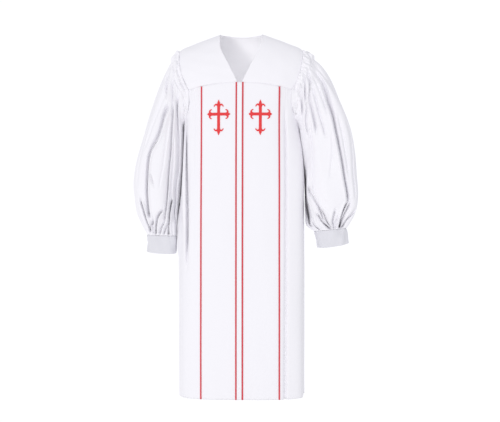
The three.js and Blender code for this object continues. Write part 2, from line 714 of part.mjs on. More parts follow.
function addSleeve(name, side) {
  const turns = spread(0, 2 * HALF_TURN, GATHERS * 4);
  const shares = [0, 0.03, 0.07, 0.13, 0.22, 0.33, 0.45, 0.57, 0.68, 0.78, 0.87, 0.94, 1];
  addPiece(name, clothWall(sleeveSurface(side), turns, shares, { sign: side, ring: true }), CLOTH_WHITE);
}

function addCuff(name, side) {
  const turns = spread(0, 2 * HALF_TURN, 28);
  addPiece(name, clothWall(cuffSurface(side), turns, [0, 0.5, 1], { sign: side, ring: true }), CLOTH_WHITE);
}

function addPlacket() {
  const lift = WALL + SEAM_GAP;
  const surface = (arc, down) => {
    const topDrop = NECK_FRONT[NECK_FRONT.length - 1].drop + 1;
    return bodyPoint(arc < 0 ? -1 : 1, Math.abs(arc), lerp(topDrop, HEM_DROP, down), lift);
  };
  const arcs = spread(-PLACKET_HALF_WIDTH, PLACKET_HALF_WIDTH, 2);
  addPiece('placket', clothWall(surface, arcs, bodyRowShares, { sign: -1 }), CLOTH_WHITE);
}

addYokes();
addBack();
addPlacket();
for (const [name, side] of [['left', 1], ['right', -1]]) {
  addFrontPanel(`front_panel_${name}`, side);
  addFrontSide(`front_side_${name}`, side);
  addSleeve(`sleeve_${name}`, side);
  addCuff(`cuff_${name}`, side);
  const outerArc = OUTER_PIPING_ARCS[side];
  const outerTop = seamDrop(YOKES.front, outerArc) + SEAM_GAP;
  addPiece(`piping_outer_${name}`, pipingGeometry(side, outerArc, outerTop), PIPING_RED);
  const innerTop = seamDrop(YOKES.front, INNER_PIPING_ARC) + SEAM_GAP;
  addPiece(`piping_inner_${name}`, pipingGeometry(side, INNER_PIPING_ARC, innerTop), PIPING_RED);
  addPiece(`cross_${name}`, crossGeometry(side), THREAD_RED);
}

export default robe;
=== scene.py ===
"""Pulpit robe with bishop sleeves: the looks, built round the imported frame.

Lengths in the tables are millimetres, and every mesh is written in metres. The front faces -Y, +Z is up
and left is the wearer's left (+X). Drops are measured down from the neck points.
"""

import logging
import math
from dataclasses import dataclass, field
from enum import Enum

import bmesh
import bpy
import numpy as np
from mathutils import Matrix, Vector


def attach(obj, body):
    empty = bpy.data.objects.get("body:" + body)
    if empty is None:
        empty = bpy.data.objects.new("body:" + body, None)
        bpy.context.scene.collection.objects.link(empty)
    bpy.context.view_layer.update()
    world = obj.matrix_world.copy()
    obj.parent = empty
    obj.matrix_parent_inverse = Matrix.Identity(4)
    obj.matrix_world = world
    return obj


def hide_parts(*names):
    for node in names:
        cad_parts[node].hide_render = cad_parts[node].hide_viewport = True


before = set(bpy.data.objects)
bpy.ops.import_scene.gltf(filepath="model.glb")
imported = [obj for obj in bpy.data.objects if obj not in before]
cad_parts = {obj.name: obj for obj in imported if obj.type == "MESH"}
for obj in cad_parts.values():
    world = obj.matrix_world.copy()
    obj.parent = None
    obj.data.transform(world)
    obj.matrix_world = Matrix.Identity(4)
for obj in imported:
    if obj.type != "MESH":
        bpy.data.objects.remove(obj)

LOG = logging.getLogger("pulpit_robe")
MM = 0.001
BODY = "root"

Array = np.ndarray


# ------------------------------------------------------------------------------------------------
# Choices and small helpers
# ------------------------------------------------------------------------------------------------

class Side(Enum):
    """The wearer's left and right, as a sign along X."""

    LEFT = 1
    RIGHT = -1

    @property
    def word(self) -> str:
        """The side's name as the nodes spell it."""
        return self.name.lower()


class Part(Enum):
    """Front and back, as a sign along Y."""

    FRONT = -1
    BACK = 1


class Held(Enum):
    HUNG = "hung"
    GATHERED = "gathered"
    STRETCHED = "stretched"


def smooth_step(value: Array, low: float, high: float) -> Array:
    """Zero below low, one above high, and smooth between."""
    t = np.clip((np.asarray(value, float) - low) / (high - low), 0.0, 1.0)
    return t * t * (3.0 - 2.0 * t)


def mix(low: Array, high: Array, share: Array) -> Array:
    """The value at a share of the way from low to high."""
    return low + (high - low) * share


def hermite(start: Array, rise: Array, leave: Array, arrive: Array, t: Array) -> Array:
    """A cubic from start to start + rise that leaves and arrives at the given slopes."""
    return start + t * (leave + t * (3 * rise - 2 * leave - arrive + t * (leave + arrive - 2 * rise)))


def join_halves(across: Array, halves: list[Array]) -> Array:
    """One grid of points from the right half's and the left half's, which meet where across is zero."""
    return np.where((across < 0)[..., None], halves[0], halves[1])


def read_curve(keys: Array, values: Array, at: Array) -> Array:
    """Reads a smooth curve through a table's rows.

    Args:
        keys: rising key of each row.
        values: the column's value in each row.
        at: where to read it; past either end it keeps the end's value.

    Returns:
        The column's value at each place.
    """
    keys, values, at = (np.asarray(x, float) for x in (keys, values, at))
    last = len(keys) - 1
    before = np.maximum(np.arange(last + 1) - 1, 0)
    after = np.minimum(np.arange(last + 1) + 1, last)
    slopes = (values[after] - values[before]) / (keys[after] - keys[before])
    row = np.clip(np.searchsorted(keys, at, side="left") - 1, 0, last - 1)
    span = keys[row + 1] - keys[row]
    t = np.clip((at - keys[row]) / span, 0.0, 1.0)
    leave, arrive = slopes[row] * span, slopes[row + 1] * span
    return hermite(values[row], values[row + 1] - values[row], leave, arrive, t)


def lookup(table: Array, row: Array, column: Array) -> Array:
    """Reads a grid between its samples.

    Args:
        table: values on a grid.
        row: place along the first axis, in samples.
        column: place along the second axis, in samples.

    Returns:
        The values, weighted from the four nearest samples.
    """
    row = np.clip(row, 0, table.shape[0] - 1.0001)
    column = np.clip(column, 0, table.shape[1] - 1.0001)
    i, j = row.astype(int), column.astype(int)
    s, t = row - i, column - j
    top = table[i, j] * (1 - t) + table[i, j + 1] * t
    foot = table[i + 1, j] * (1 - t) + table[i + 1, j + 1] * t
    return top * (1 - s) + foot * s


def waves(a: Array, b: Array, seed: int, count: int = 7) -> Array:
    """Gentle uneven waves over two coordinates, from -1 to 1 or so, the same in every run."""
    rng = np.random.default_rng(seed)
    total = np.zeros(np.broadcast(a, b).shape)
    for _ in range(count):
        pitch, heading = rng.uniform(0.6, 1.8), rng.uniform(0, math.tau)
        phase = rng.uniform(0, math.tau)
        total += np.sin(pitch * (a * math.cos(heading) + b * math.sin(heading)) * math.tau + phase)
    return total / math.sqrt(count)


# ------------------------------------------------------------------------------------------------
# The robe's form, from its sizes
# ------------------------------------------------------------------------------------------------

@dataclass(frozen=True)
class BodyRing:
    """One level section of the body: half-widths, depths and how square it is."""

    drop: float
    right: float
    left: float
    front: float
    back: float
    square: float


@dataclass(frozen=True)
class Fold:
    """A soft vertical fold of the body: a trough where depth is positive, a ridge where negative.

    The arc is where it lies from waist to hem; above, it may start out at another one.
    """

    side: Side
    arc: float
    top: float
    foot: float
    width: float
    depth: float
    fade: float = 90.0
    drift: float = 0.0
    top_arc: float | None = None


@dataclass(frozen=True)
class SleeveRing:
    """One section of a sleeve: its outer and inner edges and its reach to front and back."""

    out_x: float
    out_drop: float
    in_x: float
    in_drop: float
    reach: float
    middle: float


@dataclass(frozen=True)
class Crease:
    """A crease of a sleeve, through places given as shares of the sleeve's length and across it.

    Across is 1 at the outer edge and -1 at the inner one. Width is that of the gentle slope, which lies
    on the outer side, or on the inner one where it is negative. Width and depth are millimetres.
    """

    side: Side
    face: Part
    path: tuple[tuple[float, float], ...]
    width: float
    depth: float
    fade: float = 0.05


BODY_RINGS = (
    BodyRing(160, 215, 215, 111, 116, 3.2),
    BodyRing(215, 212, 212, 116, 120, 3.2),
    BodyRing(270, 205, 204, 121, 125, 3.1),
    BodyRing(335, 206, 203, 126, 130, 3.0),
    BodyRing(440, 211, 217, 130, 135, 3.0),
    BodyRing(560, 220, 227, 134, 139, 3.0),
    BodyRing(700, 227, 230, 137, 143, 3.0),
    BodyRing(830, 229, 230, 139, 147, 3.1),
    BodyRing(1000, 229, 229, 141, 151, 3.2),
    BodyRing(1328, 229, 229, 142, 156, 3.2),
)


@dataclass
class RobeForm:
    """The plain form of the robe: shoulders, body and armholes, as surfaces in millimetres."""

    hem_drop: float = 1328.0
    underarm_drop: float = 335.0
    neck_half_width: float = 77.0
    neck_back_depth: float = 66.0
    tip_x: float = 228.0
    shoulder_fall: float = 0.371
    tip_round_start: float = 205.0
    tip_round: float = 0.012
    narrowing: float = 4.0
    piping_arc: dict[Side, float] = field(default_factory=lambda: {Side.RIGHT: 139.0, Side.LEFT: 144.0})
    seam_drop: dict[Part, float] = field(default_factory=lambda: {Part.FRONT: 189.0, Part.BACK: 176.0})
    seam_arch: dict[Part, float] = field(default_factory=lambda: {Part.FRONT: 26.0, Part.BACK: 14.0})
    corner_x: dict[Part, float] = field(default_factory=lambda: {Part.FRONT: 187.0, Part.BACK: 190.0})
    roundness: dict[Part, float] = field(default_factory=lambda: {Part.FRONT: 2.0, Part.BACK: 2.8})
    neck_drops: tuple[float, ...] = (0.0, 30.0, 62.0, 124.0, 186.0)
    neck_half_widths: tuple[float, ...] = (77.0, 76.0, 70.5, 40.0, 9.0)
    corner_turn: float = 0.55 * math.pi
    levels: int = 420
    samples: int = 160
    turns: int = 240
    ridge_v: float = 0.0013
    search_steps: int = 40

    def __post_init__(self) -> None:
        """Tabulates each quarter of the body over its drops and along its arc."""
        self.first_drop, self.last_drop = BODY_RINGS[0].drop, BODY_RINGS[-1].drop
        drops = np.linspace(self.first_drop, self.last_drop, self.levels)
        self.tables: dict[tuple[Side, Part], dict[str, Array]] = {}
        for side in Side:
            for part in Part:
                self.tables[side, part] = self._quarter(side, part, drops)
        self.corner_share = {(part, side): self._corner_share(part, side) for part in Part for side in Side}

    def ring(self, column: str, drop: Array) -> Array:
        """One column of the body's sections at each drop."""
        keys = [ring.drop for ring in BODY_RINGS]
        return read_curve(keys, [getattr(ring, column) for ring in BODY_RINGS], drop)

    def _quarter(self, side: Side, part: Part, drops: Array) -> dict[str, Array]:
        """Tabulates one quarter of the body.

        Args:
            side: the wearer's side.
            part: front or back.
            drops: levels to tabulate.

        Returns:
            Grids of x, y and the outward normal, and the quarter's length at each level.
        """
        columns = (side.word, part.name.lower(), "square")
        width, depth, square = (self.ring(column, drops)[:, None] for column in columns)
        turn = np.linspace(0, math.pi / 2, self.turns)[None, :]
        reach = ((np.sin(turn) / width) ** square + (np.cos(turn) / depth) ** square) ** (-1 / square)
        x, y = reach * np.sin(turn), reach * np.cos(turn)
        travelled = np.cumsum(np.hypot(np.diff(x), np.diff(y)), 1)
        length = np.concatenate([np.zeros((len(drops), 1)), travelled], 1)
        shares = np.linspace(0, 1, self.samples)
        grid_x = np.stack([np.interp(shares * s[-1], s, row) for s, row in zip(length, x)])
        grid_y = np.stack([np.interp(shares * s[-1], s, row) for s, row in zip(length, y)])
        dx, dy = np.gradient(grid_x, axis=1), np.gradient(grid_y, axis=1)
        run = np.hypot(dx, dy)
        return {"x": grid_x, "y": grid_y, "nx": -dy / run, "ny": dx / run, "length": length[:, -1]}

    def _level(self, drop: Array) -> Array:
        """A drop as a place among the tabulated levels."""
        span = self.last_drop - self.first_drop
        return (np.asarray(drop, float) - self.first_drop) / span * (self.levels - 1)

    def quarter_length(self, side: Side, part: Part, drop: Array) -> Array:
        """Length of a quarter section at each drop."""
        level = np.clip(self._level(drop), 0, self.levels - 1)
        return np.interp(level, np.arange(self.levels), self.tables[side, part]["length"])

    def quarter_point(self, side: Side, part: Part, arc: Array, drop: Array) -> tuple[Array, ...]:
        """A point of a quarter at a length from its middle.

        Args:
            side: the wearer's side.
            part: front or back.
            arc: length along the section from the centre front or centre back.
            drop: drop of the point.

        Returns:
            x and y of the point and of the outward normal, with x away from the middle.
        """
        table = self.tables[side, part]
        level = self._level(drop)
        place = arc / self.quarter_length(side, part, drop) * (self.samples - 1)
        x, y, nx, ny = (lookup(table[name], level, place) for name in ("x", "y", "nx", "ny"))
        size = np.hypot(nx, ny)
        return x, part.value * y, nx / size, part.value * ny / size

    def body_point(self, side: Side, arc: Array, drop: Array, out: Array) -> Array:
        """A point of the body's cloth, moved out by a relief. The arc runs from centre front to back."""
        arc, drop, out = np.broadcast_arrays(*(np.asarray(each, float) for each in (arc, drop, out)))
        front_length = self.quarter_length(side, Part.FRONT, drop)
        back_length = self.quarter_length(side, Part.BACK, drop)
        front = self.quarter_point(side, Part.FRONT, np.minimum(arc, front_length), drop)
        back = self.quarter_point(side, Part.BACK, np.clip(front_length + back_length - arc, 0, None), drop)
        x, y, nx, ny = (np.where(arc <= front_length, a, b) for a, b in zip(front, back))
        return np.stack([side.value * (x + out * nx), y + out * ny, -drop], -1)

    def crest(self, x: Array) -> Array:
        """Height of the shoulder crest at a distance from the middle."""
        x = np.asarray(x, float)
        crown = self.neck_half_width * self.shoulder_fall / 2
        beyond = self.tip_round * np.maximum(x - self.tip_round_start, 0) ** 2
        sloped = -(x - self.neck_half_width) * self.shoulder_fall - beyond
        return np.where(x < self.neck_half_width, crown * (1 - (x / self.neck_half_width) ** 2), sloped)

    def seam(self, part: Part, x: Array) -> Array:
        """Drop of a yoke's lower seam at a distance from the middle."""
        return self.seam_drop[part] + self.seam_arch[part] * (x / self.corner_x[part]) ** 2

    def yoke_point(self, part: Part, side: Side, u: Array, v: Array) -> Array:
        """A point of a yoke: u runs from the middle to the armhole, v from shoulder seam to lower seam."""
        u, v = np.broadcast_arrays(np.asarray(u, float), np.asarray(v, float))
        corner = self.corner_x[part]
        drop = self.seam(part, u * corner)
        square = self.ring("square", drop)
        inward = (u * corner / self.ring(side.word, drop)) ** square
        depth = self.ring(part.name.lower(), drop) * (1 - inward) ** (1 / square)
        sine, cosine = np.sin(v * math.pi / 2), np.abs(np.cos(v * math.pi / 2))
        round_power = self.roundness[part]
        reach = (sine ** round_power + cosine ** round_power) ** (-1 / round_power)
        crest = self.crest(u * self.tip_x)
        x = u * mix(self.tip_x, corner, v ** self.narrowing)
        z = crest - (crest + drop) * (1 - reach * cosine)
        return np.stack([side.value * x, part.value * depth * reach * sine, z], -1)

    def neck_place(
        self, part: Part, side: Side, half_width: Array, axis: int, target: Array
    ) -> tuple[Array, Array]:
        """Where on a yoke each point of the neck edge lies.

        Args:
            part: front or back yoke.
            side: the wearer's side.
            half_width: distance of each point from the middle.
            axis: 1 to match a depth, 2 to match a height.
            target: the depth, or minus the drop, of each point.

        Returns:
            The yoke's u and v of each point.
        """
        sign = 1.0 if axis == 1 else -1.0
        low, high = np.full(np.shape(half_width), self.ridge_v), np.ones(np.shape(half_width))
        for _ in range(self.search_steps):
            v = (low + high) / 2
            u = half_width / mix(self.tip_x, self.corner_x[part], v ** self.narrowing)
            over = sign * (self.yoke_point(part, side, u, v)[..., axis] - target) > 0
            low, high = np.where(over, low, v), np.where(over, v, high)
        v = (low + high) / 2
        return half_width / mix(self.tip_x, self.corner_x[part], v ** self.narrowing), v

    def _corner_share(self, part: Part, side: Side) -> float:
        """Where the yoke corner lies, as a share of the side or back panel's width."""
        drop = self.seam(part, self.corner_x[part])
        length = float(self.quarter_length(side, part, drop))
        arcs = np.linspace(0, length, 4000)
        x = self.quarter_point(side, part, arcs, np.full(arcs.shape, drop))[0]
        arc = float(np.interp(self.corner_x[part], x, arcs))
        start = self.piping_arc[side] if part is Part.FRONT else 0.0
        return (arc - start) / (length - start)

    def panel_top(self, part: Part, side: Side, share: Array) -> Array:
        """Drop of the upper edge of a side or back panel: the yoke seam, then down the armhole."""
        share = np.asarray(share, float)
        corner = self.corner_share[part, side]
        start = self.piping_arc[side] if part is Part.FRONT else 0.0
        level = np.full(share.shape, self.seam_drop[part])
        arc = mix(start, self.quarter_length(side, part, level), share)
        x = np.minimum(self.quarter_point(side, part, arc, level)[0], self.corner_x[part])
        corner_drop = self.seam(part, self.corner_x[part])
        q = np.clip((share - corner) / (1 - corner), 0, 1)
        armhole = mix(corner_drop, self.underarm_drop, np.sqrt(1 - (1 - q) ** 2))
        return np.where(share <= corner, self.seam(part, x), armhole)

    def panel_arc(self, part: Part, side: Side, share: Array, drop: Array) -> Array:
        """Arc from the centre front of a share of a side or back panel's width."""
        front = self.quarter_length(side, Part.FRONT, drop)
        if part is Part.FRONT:
            return mix(self.piping_arc[side], front, share)
        return front + self.quarter_length(side, Part.BACK, drop) * (1 - share)

    def armhole_point(self, side: Side, turn: Array) -> Array:
        """The armhole edge at a turn round the sleeve: 0 at the shoulder tip, half a turn below."""
        turn = np.mod(np.asarray(turn, float), math.tau)
        result = np.zeros(turn.shape + (3,))
        for part in Part:
            chosen = turn <= math.pi if part is Part.FRONT else turn > math.pi
            if not chosen.any():
                continue
            around = np.where(turn[chosen] <= math.pi, turn[chosen], math.tau - turn[chosen])
            down = np.clip(around / self.corner_turn, 0, 1)
            upper = self.yoke_point(part, side, np.ones(around.shape), down)
            q = np.clip((around - self.corner_turn) / (math.pi - self.corner_turn), 0, 1)
            share = mix(self.corner_share[part, side], 1.0, q)
            drop = self.panel_top(part, side, share)
            arc = self.panel_arc(part, side, share, drop)
            lower = self.body_point(side, arc, drop, np.zeros(drop.shape))
            result[chosen] = np.where((around <= self.corner_turn)[:, None], upper, lower)
        return result


# ------------------------------------------------------------------------------------------------
# Meshes of cloth
# ------------------------------------------------------------------------------------------------

def grid_normals(points: Array, ring: bool) -> Array:
    """Unit normals of a grid of points, rows along the cloth and columns across it."""
    along = np.gradient(points, axis=0)
    if ring:
        across = (np.roll(points, -1, axis=1) - np.roll(points, 1, axis=1)) / 2
    else:
        across = np.gradient(points, axis=1)
    normals = np.cross(across, along)
    return normals / np.maximum(np.linalg.norm(normals, axis=-1, keepdims=True), 1e-9)


def grid_faces(rows: int, columns: int, ring: bool) -> Array:
    """Quads over a grid of points, as indices."""
    steps = columns if ring else columns - 1
    row, column = np.meshgrid(np.arange(rows - 1), np.arange(steps), indexing="ij")
    after = (column + 1) % columns
    upper, lower = row * columns, (row + 1) * columns
    quads = [upper + column, upper + after, lower + after, lower + column]
    return np.stack(quads, -1).reshape(-1, 4)


def write_mesh(name: str, vertices: Array, faces: list, uv: Array | None = None) -> bpy.types.Object:
    """Makes a smooth mesh object.

    Args:
        name: the object's name.
        vertices: points in millimetres.
        faces: lists of vertex indices.
        uv: place of each vertex on the flat cloth, in metres.

    Returns:
        The new object, linked to the scene.
    """
    mesh = bpy.data.meshes.new(name)
    mesh.from_pydata((np.asarray(vertices) * MM).tolist(), [], [list(map(int, face)) for face in faces])
    mesh.validate()
    mesh.polygons.foreach_set("use_smooth", [True] * len(mesh.polygons))
    if uv is not None:
        layer = mesh.uv_layers.new(name="cloth")
        loops = np.empty(len(mesh.loops), int)
        mesh.loops.foreach_get("vertex_index", loops)
        layer.data.foreach_set("uv", np.asarray(uv)[loops].astype(np.float32).ravel())
    mesh.update()
    piece = bpy.data.objects.new(name, mesh)
    bpy.context.scene.collection.objects.link(piece)
    return piece


def cloth_shell(
    name: str, points: Array, outward: int, ring: bool = False, thickness: float = 1.1
) -> bpy.types.Object:
    """Makes a thin closed shell of cloth.

    Args:
        name: the object's name.
        points: the outer face, as rows of points in millimetres.
        outward: 1 if columns x rows points out, else -1.
        ring: whether each row closes on itself.
        thickness: how far the inner face lies inside, in millimetres.

    Returns:
        The new object.
    """
    rows, columns = points.shape[:2]
    inner = points - outward * thickness * grid_normals(points, ring)
    vertices = np.concatenate([points.reshape(-1, 3), inner.reshape(-1, 3)])
    count = rows * columns
    outer_faces = grid_faces(rows, columns, ring)
    steps = columns if ring else columns - 1
    rim = []
    for row in (0, rows - 1):
        start = np.arange(steps) + row * columns
        end = (np.arange(steps) + 1) % columns + row * columns
        quad = np.stack([start, end, end + count, start + count], -1)
        rim.append(quad[:, ::-1] if row == 0 else quad)
    if not ring:
        for column in (0, columns - 1):
            start = np.arange(rows - 1) * columns + column
            quad = np.stack([start, start + columns, start + columns + count, start + count], -1)
            rim.append(quad if column == 0 else quad[:, ::-1])
    faces = np.concatenate([outer_faces, outer_faces[:, ::-1] + count, *rim])
    if outward < 0:
        faces = faces[:, ::-1]
    across = np.linalg.norm(np.diff(points, axis=1), axis=-1)
    along = np.linalg.norm(np.diff(points, axis=0), axis=-1)
    u = np.concatenate([np.zeros((rows, 1)), np.cumsum(across, 1)], 1)
    v = np.concatenate([np.zeros((1, columns)), np.cumsum(along, 0)], 0)
    uv = np.stack([u, v], -1).reshape(-1, 2) * MM
    return write_mesh(name, vertices, faces, np.concatenate([uv, uv]))


def settle(piece: bpy.types.Object, finish: "Finish", *nodes: str) -> bpy.types.Object:
    """Rides a piece on the body, dresses it, and lets it stand for its CAD nodes."""
    piece.data.materials.append(finish.material())
    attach(piece, BODY)
    if nodes:
        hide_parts(*nodes)
    LOG.info("%s: %d faces", piece.name, len(piece.data.polygons))
    return piece


# ------------------------------------------------------------------------------------------------
# Finishes
# ------------------------------------------------------------------------------------------------

def add_node(tree: bpy.types.NodeTree, kind: str, **values: object) -> bpy.types.Node:
    """Adds a node and sets its properties and its inputs' values by name."""
    node = tree.nodes.new(kind)
    for key, value in values.items():
        if hasattr(node, key):
            setattr(node, key, value)
        else:
            node.inputs[key.replace("_", " ")].default_value = value
    return node


def new_group(name: str, inputs: dict[str, tuple], outputs: dict[str, str]) -> tuple:
    """Makes a shader node group.

    Args:
        name: the group's name.
        inputs: each input's socket type and default value.
        outputs: each output's socket type.

    Returns:
        The group with its input and output nodes.
    """
    group = bpy.data.node_groups.new(name, "ShaderNodeTree")
    for label, (kind, value) in inputs.items():
        socket = group.interface.new_socket(label, in_out="INPUT", socket_type=kind)
        if value is not None:
            socket.default_value = value
    for label, kind in outputs.items():
        group.interface.new_socket(label, in_out="OUTPUT", socket_type=kind)
    return group, group.nodes.new("NodeGroupInput"), group.nodes.new("NodeGroupOutput")


def weave_group() -> bpy.types.NodeTree:
    """Plain weave: crossed threads, with a soft unevenness of colour and roughness."""
    name = "plain_weave"
    if name in bpy.data.node_groups:
        return bpy.data.node_groups[name]
    group, start, end = new_group(
        name,
        {
            "Thread Count": ("NodeSocketFloat", 2200.0),
            "Tone": ("NodeSocketColor", (0.8, 0.8, 0.8, 1.0)),
            "Shadow Tone": ("NodeSocketColor", (0.6, 0.6, 0.6, 1.0)),
            "Roughness": ("NodeSocketFloat", 0.6),
        },
        {"Color": "NodeSocketColor", "Roughness": "NodeSocketFloat", "Height": "NodeSocketFloat"},
    )
    link = group.links.new
    place = add_node(group, "ShaderNodeUVMap", uv_map="cloth")
    solid = add_node(group, "ShaderNodeTexCoord")
    heights = []
    for direction in ("X", "Y"):
        wave = add_node(group, "ShaderNodeTexWave", bands_direction=direction, Distortion=0.6,
                        Detail_Scale=2.0)
        link(place.outputs["UV"], wave.inputs["Vector"])
        link(start.outputs["Thread Count"], wave.inputs["Scale"])
        heights.append(wave.outputs["Fac"])
    weave = add_node(group, "ShaderNodeMath", operation="MAXIMUM")
    link(heights[0], weave.inputs[0])
    link(heights[1], weave.inputs[1])
    cloud = add_node(group, "ShaderNodeTexNoise", Scale=7.0, Detail=3.0, Roughness=0.55)
    link(solid.outputs["Object"], cloud.inputs["Vector"])
    slub = add_node(group, "ShaderNodeTexNoise", Scale=90.0, Detail=4.0, Roughness=0.7)
    link(solid.outputs["Object"], slub.inputs["Vector"])
    tone = add_node(group, "ShaderNodeMapRange", From_Min=0.3, From_Max=0.62, To_Min=0.3, To_Max=0.0)
    link(cloud.outputs["Fac"], tone.inputs["Value"])
    blend = add_node(group, "ShaderNodeMix", data_type="RGBA")
    link(tone.outputs["Result"], blend.inputs["Factor"])
    link(start.outputs["Tone"], blend.inputs[6])
    link(start.outputs["Shadow Tone"], blend.inputs[7])
    link(blend.outputs[2], end.inputs["Color"])
    rough = add_node(group, "ShaderNodeMath", operation="MULTIPLY_ADD")
    link(slub.outputs["Fac"], rough.inputs[0])
    rough.inputs[1].default_value = 0.12
    link(start.outputs["Roughness"], rough.inputs[2])
    link(rough.outputs[0], end.inputs["Roughness"])
    height = add_node(group, "ShaderNodeMath", operation="MULTIPLY_ADD")
    link(slub.outputs["Fac"], height.inputs[0])
    height.inputs[1].default_value = 0.5
    link(weave.outputs[0], height.inputs[2])
    link(height.outputs[0], end.inputs["Height"])
    return group


def strand_group() -> bpy.types.NodeTree:
    """Laid threads: fine slanting strands, lighter on their crowns, with painted shade in the hollows."""
    name = "laid_strands"
    if name in bpy.data.node_groups:
        return bpy.data.node_groups[name]
    group, start, end = new_group(
        name,
        {
            "Strand Count": ("NodeSocketFloat", 260.0),
            "Slant": ("NodeSocketFloat", 0.7),
            "Tone": ("NodeSocketColor", (0.8, 0.1, 0.1, 1.0)),
            "Hollow Tone": ("NodeSocketColor", (0.5, 0.05, 0.05, 1.0)),
        },
        {"Color": "NodeSocketColor", "Height": "NodeSocketFloat"},
    )
    link = group.links.new
    solid = add_node(group, "ShaderNodeTexCoord")
    turn = add_node(group, "ShaderNodeVectorRotate", rotation_type="Y_AXIS")
    link(solid.outputs["Object"], turn.inputs["Vector"])
    link(start.outputs["Slant"], turn.inputs["Angle"])
    wave = add_node(group, "ShaderNodeTexWave", bands_direction="Z", Distortion=1.2, Detail=2.0)
    link(turn.outputs["Vector"], wave.inputs["Vector"])
    link(start.outputs["Strand Count"], wave.inputs["Scale"])
    # The hollows between the strands take the darker tone: painted shade.
    blend = add_node(group, "ShaderNodeMix", data_type="RGBA")
    link(wave.outputs["Fac"], blend.inputs["Factor"])
    link(start.outputs["Hollow Tone"], blend.inputs[6])
    link(start.outputs["Tone"], blend.inputs[7])
    link(blend.outputs[2], end.inputs["Color"])
    link(wave.outputs["Fac"], end.inputs["Height"])
    return group


@dataclass(frozen=True)
class Finish:
    """What every finish has: a name and the record's material slot."""

    name: str
    slot: str

    def material(self) -> bpy.types.Material:
        """The finish's material, made once."""
        if self.name in bpy.data.materials:
            return bpy.data.materials[self.name]
        material = bpy.data.materials.new(self.name)
        material.use_nodes = True
        tree = material.node_tree
        self.dress(tree, tree.nodes["Principled BSDF"])
        return material

    def dress(self, tree: bpy.types.NodeTree, shader: bpy.types.Node) -> None:
        """Sets the shader up. Each finish has its own."""
        raise NotImplementedError

    @staticmethod
    def bump(
        tree: bpy.types.NodeTree, shader: bpy.types.Node, height: bpy.types.NodeSocket, depth: float
    ) -> None:
        """Raises a height, in metres, on the shader's normal."""
        bump = add_node(tree, "ShaderNodeBump", Strength=0.6, Distance=depth)
        tree.links.new(height, bump.inputs["Height"])
        tree.links.new(bump.outputs["Normal"], shader.inputs["Normal"])


@dataclass(frozen=True)
class ClothFinish(Finish):
    """Smooth robe cloth with a fine plain weave and a low soft sheen."""

    tone: tuple[float, float, float] = (0.785, 0.78, 0.81)
    shadow_tone: tuple[float, float, float] = (0.755, 0.75, 0.785)
    roughness: float = 0.55
    sheen: float = 0.12
    threads: float = 350.0

    def dress(self, tree: bpy.types.NodeTree, shader: bpy.types.Node) -> None:
        """Sets the cloth's weave, colour and sheen."""
        weave = add_node(tree, "ShaderNodeGroup", node_tree=weave_group())
        weave.inputs["Thread Count"].default_value = self.threads
        weave.inputs["Tone"].default_value = (*self.tone, 1.0)
        weave.inputs["Shadow Tone"].default_value = (*self.shadow_tone, 1.0)
        weave.inputs["Roughness"].default_value = self.roughness
        tree.links.new(weave.outputs["Color"], shader.inputs["Base Color"])
        tree.links.new(weave.outputs["Roughness"], shader.inputs["Roughness"])
        shader.inputs["Specular IOR Level"].default_value = 0.3
        shader.inputs["Sheen Weight"].default_value = self.sheen
        shader.inputs["Sheen Roughness"].default_value = 0.45
        self.bump(tree, shader, weave.outputs["Height"], 0.00012)


@dataclass(frozen=True)
class StrandFinish(Finish):
    """Red thread or cord, with its strands laid on a slant."""

    tone: tuple[float, float, float] = (0.78, 0.05, 0.06)
    # The darker tone painted into the strands' hollows: painted shade.
    hollow_painted_shade: tuple[float, float, float] = (0.58, 0.03, 0.035)
    roughness: float = 0.5
    sheen: float = 0.1
    strands: float = 260.0
    slant: float = 0.75
    relief: float = 0.0002

    def dress(self, tree: bpy.types.NodeTree, shader: bpy.types.Node) -> None:
        """Sets the strands' colour, with painted shade in their hollows, and their relief."""
        strand = add_node(tree, "ShaderNodeGroup", node_tree=strand_group())
        strand.inputs["Strand Count"].default_value = self.strands
        strand.inputs["Slant"].default_value = self.slant
        strand.inputs["Tone"].default_value = (*self.tone, 1.0)
        strand.inputs["Hollow Tone"].default_value = (*self.hollow_painted_shade, 1.0)
        tree.links.new(strand.outputs["Color"], shader.inputs["Base Color"])
        shader.inputs["Roughness"].default_value = self.roughness
        shader.inputs["Specular IOR Level"].default_value = 0.35
        shader.inputs["Sheen Weight"].default_value = self.sheen
        self.bump(tree, shader, strand.outputs["Height"], self.relief)


ROBE_CLOTH = ClothFinish("robe_cloth", "robe_cloth")
# The cuffs are the robe's own cloth with its tones painted darker: painted shade, not a different cloth.
SHADED_CUFF_CLOTH = ClothFinish(
    "cuff_cloth", "robe_cloth", tone=(0.76, 0.76, 0.80), shadow_tone=(0.72, 0.72, 0.765))
# The cord and the cross thread both paint shade into the hollows between their strands.
PIPING_CORD = StrandFinish(
    "piping_cord", "piping_cord", tone=(0.62, 0.055, 0.075), hollow_painted_shade=(0.46, 0.03, 0.045),
    strands=420.0, roughness=0.6)
CROSS_THREAD = StrandFinish("cross_thread", "cross_thread", strands=330.0, slant=0.25)


def sew(
    node: str, points: Array, outward: int, finish: Finish = ROBE_CLOTH, **shell: object
) -> bpy.types.Object:
    """Makes the cloth of one CAD node as a closed shell, dressed and standing for that node."""
    return settle(cloth_shell(f"{node}_cloth", points, outward, **shell), finish, node)


# ------------------------------------------------------------------------------------------------
# Yokes
# ------------------------------------------------------------------------------------------------

